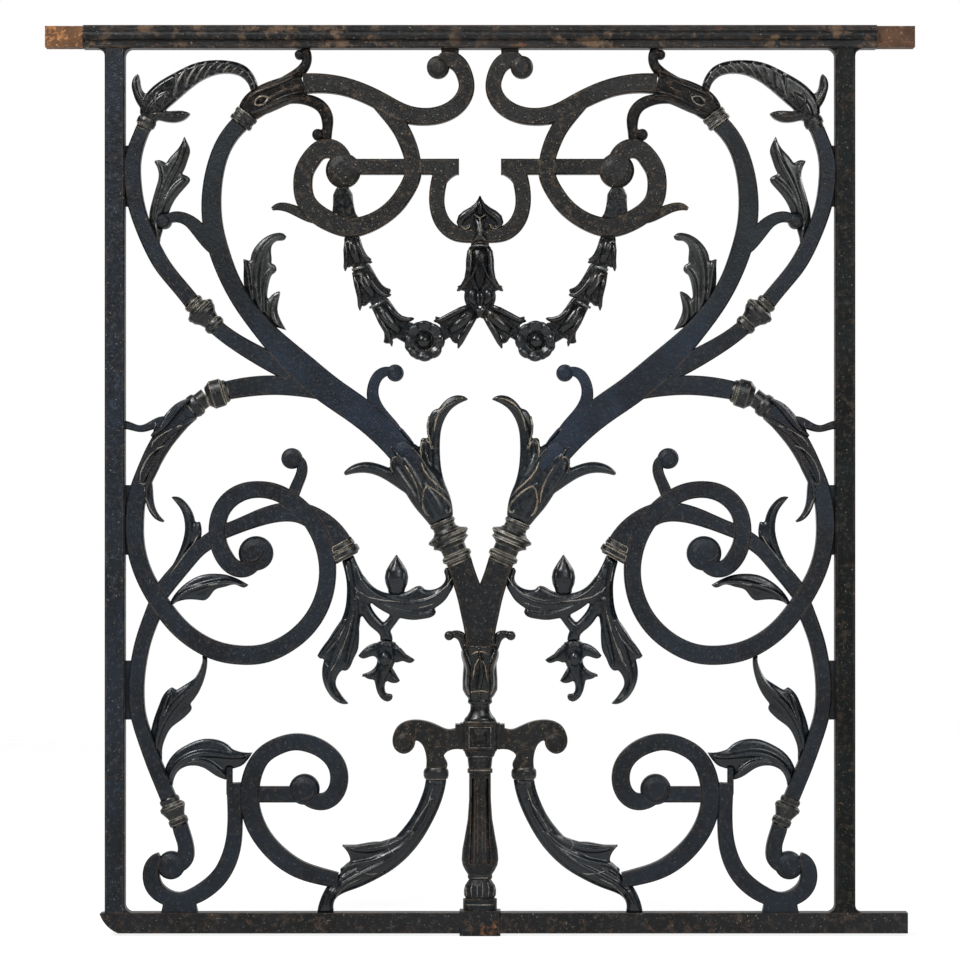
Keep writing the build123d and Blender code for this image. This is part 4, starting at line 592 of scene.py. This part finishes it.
# Flowers of the sprays: a closed bud with two seams, and a hanging flower with a bulb, petals and sepals.
# Cast on the sprays, the seams rubbed grey and the flower black.
threads("bud_lines", casts["blooms"], dict(
    left_seam=[(396, 556.5, 0.4), (391, 566, 0.8), (388.6, 576, 0.9), (390, 587, 0.4)],
    right_seam=[(396, 556.5, 0.4), (401.5, 565, 0.8), (404, 576, 0.9), (402.5, 587, 0.4)],
), rib_grey, fullness=0.8)
threads("bloom_bulbs", casts["blooms"], dict(
    bulb=[(376.6, 658, 1.2, 4), (378.5, 658, 5.0, 5), (381.5, 658.3, 7.8, 6), (385, 658.5, 8.8, 6.5),
          (388.5, 658.3, 7.8, 6), (391.5, 658, 5.0, 5), (393.4, 658, 1.2, 4)],
    crown=[(376, 645, 0.8, 5), (386, 642.6, 1.6, 7), (395.5, 643.8, 0.8, 5)],
    outer_petal=[(377, 648, 0.5, 6), (370, 649, 1.6, 6.5), (364.5, 653.5, 1.6, 6), (359.5, 657.5, 0.5, 5)],
    inner_petal=[(392, 647.5, 0.5, 6), (399.5, 650, 1.8, 6.5), (405, 656, 1.6, 6), (413.5, 660, 0.5, 5)],
    outer_sepal=[(378, 666, 0.5, 5.5), (373.5, 672, 1.7, 6), (367.5, 675.5, 1.4, 5.5), (362, 676.5, 0.5, 5)],
    inner_sepal=[(390, 666, 0.5, 5.5), (393, 673, 1.7, 6), (399, 681, 0.5, 5)],
), leaf_black, swell=0.8, sides=12)

# Column: the edges of the socket's leaf, the frames round the boss, and the rings and reeds of the baluster.
# Turned or cut in the pattern, so they are even, and rubbed on every ridge.
threads("socket_lines", casts["socket"], dict(
    rim=[(470.8, 655, 0.4), (476, 652, 0.9), (480, 651.5, 1.0)],
    leaf_edge=[(480.5, 656, 0.4), (475, 665.5, 1.0), (473.6, 675, 1.0), (471, 685, 0.4)],
    foot_ring=[(470.5, 692, 0.8), (480, 690.5, 1.1)],
), fullness=0.9)
threads("boss_frames", nodes["boss"], dict(
    inner_frame=[(480, 727.2, 0.7), (469.2, 727.2, 0.7), (469.2, 747.6, 0.7), (480, 747.6, 0.7)],
    outer_frame=[(480, 722.2, 0.8), (465, 722.2, 0.8), (465, 752.8, 0.8), (480, 752.8, 0.8)],
), rib_grey, fullness=0.8)
threads("baluster_beads", nodes["baluster"], dict(
    top_ring=[(465.5, 757, 0.5), (472, 756.6, 0.8), (480, 756.6, 0.9)],
    shoulder_ring=[(469.5, 770.8, 0.5), (474, 770.6, 0.9), (480, 770.6, 1.0)],
    waist_ring=[(466, 878.4, 0.5), (472, 878.2, 0.9), (480, 878.2, 1.0)],
    foot_ring=[(466, 905, 0.5), (472, 904.8, 0.9), (480, 904.8, 1.0)],
    outer_reed=[(467.5, 883, 0.4), (465.8, 889, 0.8), (467, 896, 0.4)],
    middle_reed=[(472.5, 882.5, 0.4), (471, 889.5, 0.8), (472, 897, 0.4)],
    inner_reed=[(477.6, 882.5, 0.4), (477.2, 889.5, 0.8), (477.5, 897, 0.4)],
), rib_grey, fullness=0.9)

# Acanthus arms: the veins and curled edges of the leaf that clasps each arm of the crossarm.
# Fine raised lines, cast with the leaf and rubbed grey.
threads("acanthus_lines", casts["left_acanthus_arm"], dict(
    upper_vein=[(433, 788, 0.4), (428, 804, 0.8), (416.7, 821, 0.8), (405.5, 840.5, 0.4)],
    curl_edge=[(396, 838, 0.4), (389.5, 840.5, 0.9), (386.5, 845, 0.9), (389, 850, 0.8), (394.5, 853.5, 0.4)],
    curl_vein=[(418, 831, 0.4), (412, 834, 0.9), (406.5, 839, 0.8), (404, 843, 0.4)],
    upper_edge=[(350, 847, 0.4), (360, 846.5, 0.9), (371, 844.8, 0.8), (382, 844, 0.4)],
    lower_edge=[(352, 870, 0.4), (361, 873, 0.8), (372, 874.5, 0.8), (383, 872.5, 0.4)],
    foot_vein=[(331, 905, 0.4), (338, 894, 0.9), (348, 884.5, 0.9), (360, 879, 0.4)],
), rib_grey, fullness=0.8)

# Floor and backdrop: plain and pale. Both show white to the camera and in reflections,
# and the backdrop is clear from behind, so that the panel is seen from every side.
stage_size, backdrop_behind = 7, 3.0


def white_stage(name, keeps_shadow):
    """Plain white for the stage, which still takes the panel's shadow where asked."""
    material = bpy.data.materials.new(name)
    material.use_nodes = True
    tree = material.node_tree
    tree.nodes.remove(tree.nodes["Principled BSDF"])
    matt = add_node(tree, "BsdfDiffuse", Color=(0.9, 0.9, 0.9, 1)).outputs[0]
    glow = add_node(tree, "Emission", Color=(1, 1, 1, 1), Strength=1.12 if keeps_shadow else 1.0).outputs[0]
    path = add_node(tree, "LightPath").outputs
    seen = combined(tree, "MAXIMUM", path["Is Camera Ray"], path["Is Glossy Ray"])
    seen = combined(tree, "MAXIMUM", seen, path["Is Transmission Ray"])
    share = combined(tree, "MULTIPLY", seen, 0.75 if keeps_shadow else 1.0)
    surface = add_node(tree, "MixShader", i0=share, i1=matt, i2=glow).outputs[0]
    if not keeps_shadow:
        behind = add_node(tree, "NewGeometry").outputs["Backfacing"]
        clear = add_node(tree, "BsdfTransparent").outputs[0]
        surface = add_node(tree, "MixShader", i0=behind, i1=surface, i2=clear).outputs[0]
    tree.links.new(surface, tree.nodes["Material Output"].inputs["Surface"])
    return material


bpy.ops.mesh.primitive_plane_add(size=stage_size, location=(0, 0, 0))
floor = bpy.context.object
floor.name = "floor"
floor.data.materials.append(white_stage("floor_white", True))
bpy.ops.mesh.primitive_plane_add(size=stage_size, location=(0, backdrop_behind, stage_size / 2),
                                 rotation=(radians(90), 0, 0))
backdrop = bpy.context.object
backdrop.name = "backdrop"
backdrop.data.materials.append(white_stage("backdrop_white", False))

# Lamps: a soft key from the upper left, a broad fill in front, and a low rim from behind on the right.
# Each is a rectangular lamp turned to the middle of the panel, sized in metres, with its power in watts.
panel_middle = Vector((0, 0, 0.45))


def lamp(name, place, size, power):
    """A soft rectangular lamp at a place, turned to the middle of the panel."""
    bpy.ops.object.light_add(type="AREA", location=place)
    light = bpy.context.object
    light.name = name
    light.data.shape = "RECTANGLE"
    light.data.size, light.data.size_y = size
    light.data.energy = power
    light.rotation_euler = (panel_middle - Vector(place)).to_track_quat("-Z", "Y").to_euler()


lamp("key", place=(-1.5, -1.9, 2.7), size=(0.9, 0.9), power=110)
lamp("front", place=(1.3, -3.2, 1.9), size=(1.6, 1.2), power=60)
lamp("rim", place=(2.2, 1.6, 1.8), size=(1.2, 1.6), power=30)

# World: white to the camera and through clear things, as the backdrop is.
# Its light is faint and a little cool, so that black paint keeps its depth.
world = bpy.data.worlds.new("studio")
bpy.context.scene.world = world
world.use_nodes = True
tree = world.node_tree
soft_light = tree.nodes["Background"]
soft_light.inputs["Color"].default_value = (0.9, 0.95, 1.0, 1)
soft_light.inputs["Strength"].default_value = 0.16
white = add_node(tree, "Background", Color=(1, 1, 1, 1), Strength=1.0).outputs[0]
path = add_node(tree, "LightPath").outputs
seen = combined(tree, "MAXIMUM", path["Is Camera Ray"], path["Is Transmission Ray"])
sky = add_node(tree, "MixShader", i0=seen, i1=soft_light.outputs[0], i2=white).outputs[0]
tree.links.new(sky, tree.nodes["World Output"].inputs["Surface"])

# Camera: straight in front, level with the middle of the picture.
# Its lens is worked out so that the picture is 0.96 m wide on the panel's front face.
distance, front_face = 4.0, 0.01
picture_width, picture_middle = 0.96, 0.456
sensor_width = 36
camera_data = bpy.data.cameras.new("camera")
camera = bpy.data.objects.new("camera", camera_data)
bpy.context.scene.collection.objects.link(camera)
camera.location = (0, -distance - front_face, picture_middle)
camera.rotation_euler = (radians(90), 0, 0)
camera_data.sensor_width = sensor_width
camera_data.lens = sensor_width * distance / picture_width
camera_data.clip_end = 40
bpy.context.scene.camera = camera
bpy.context.scene.view_settings.view_transform = "Standard"
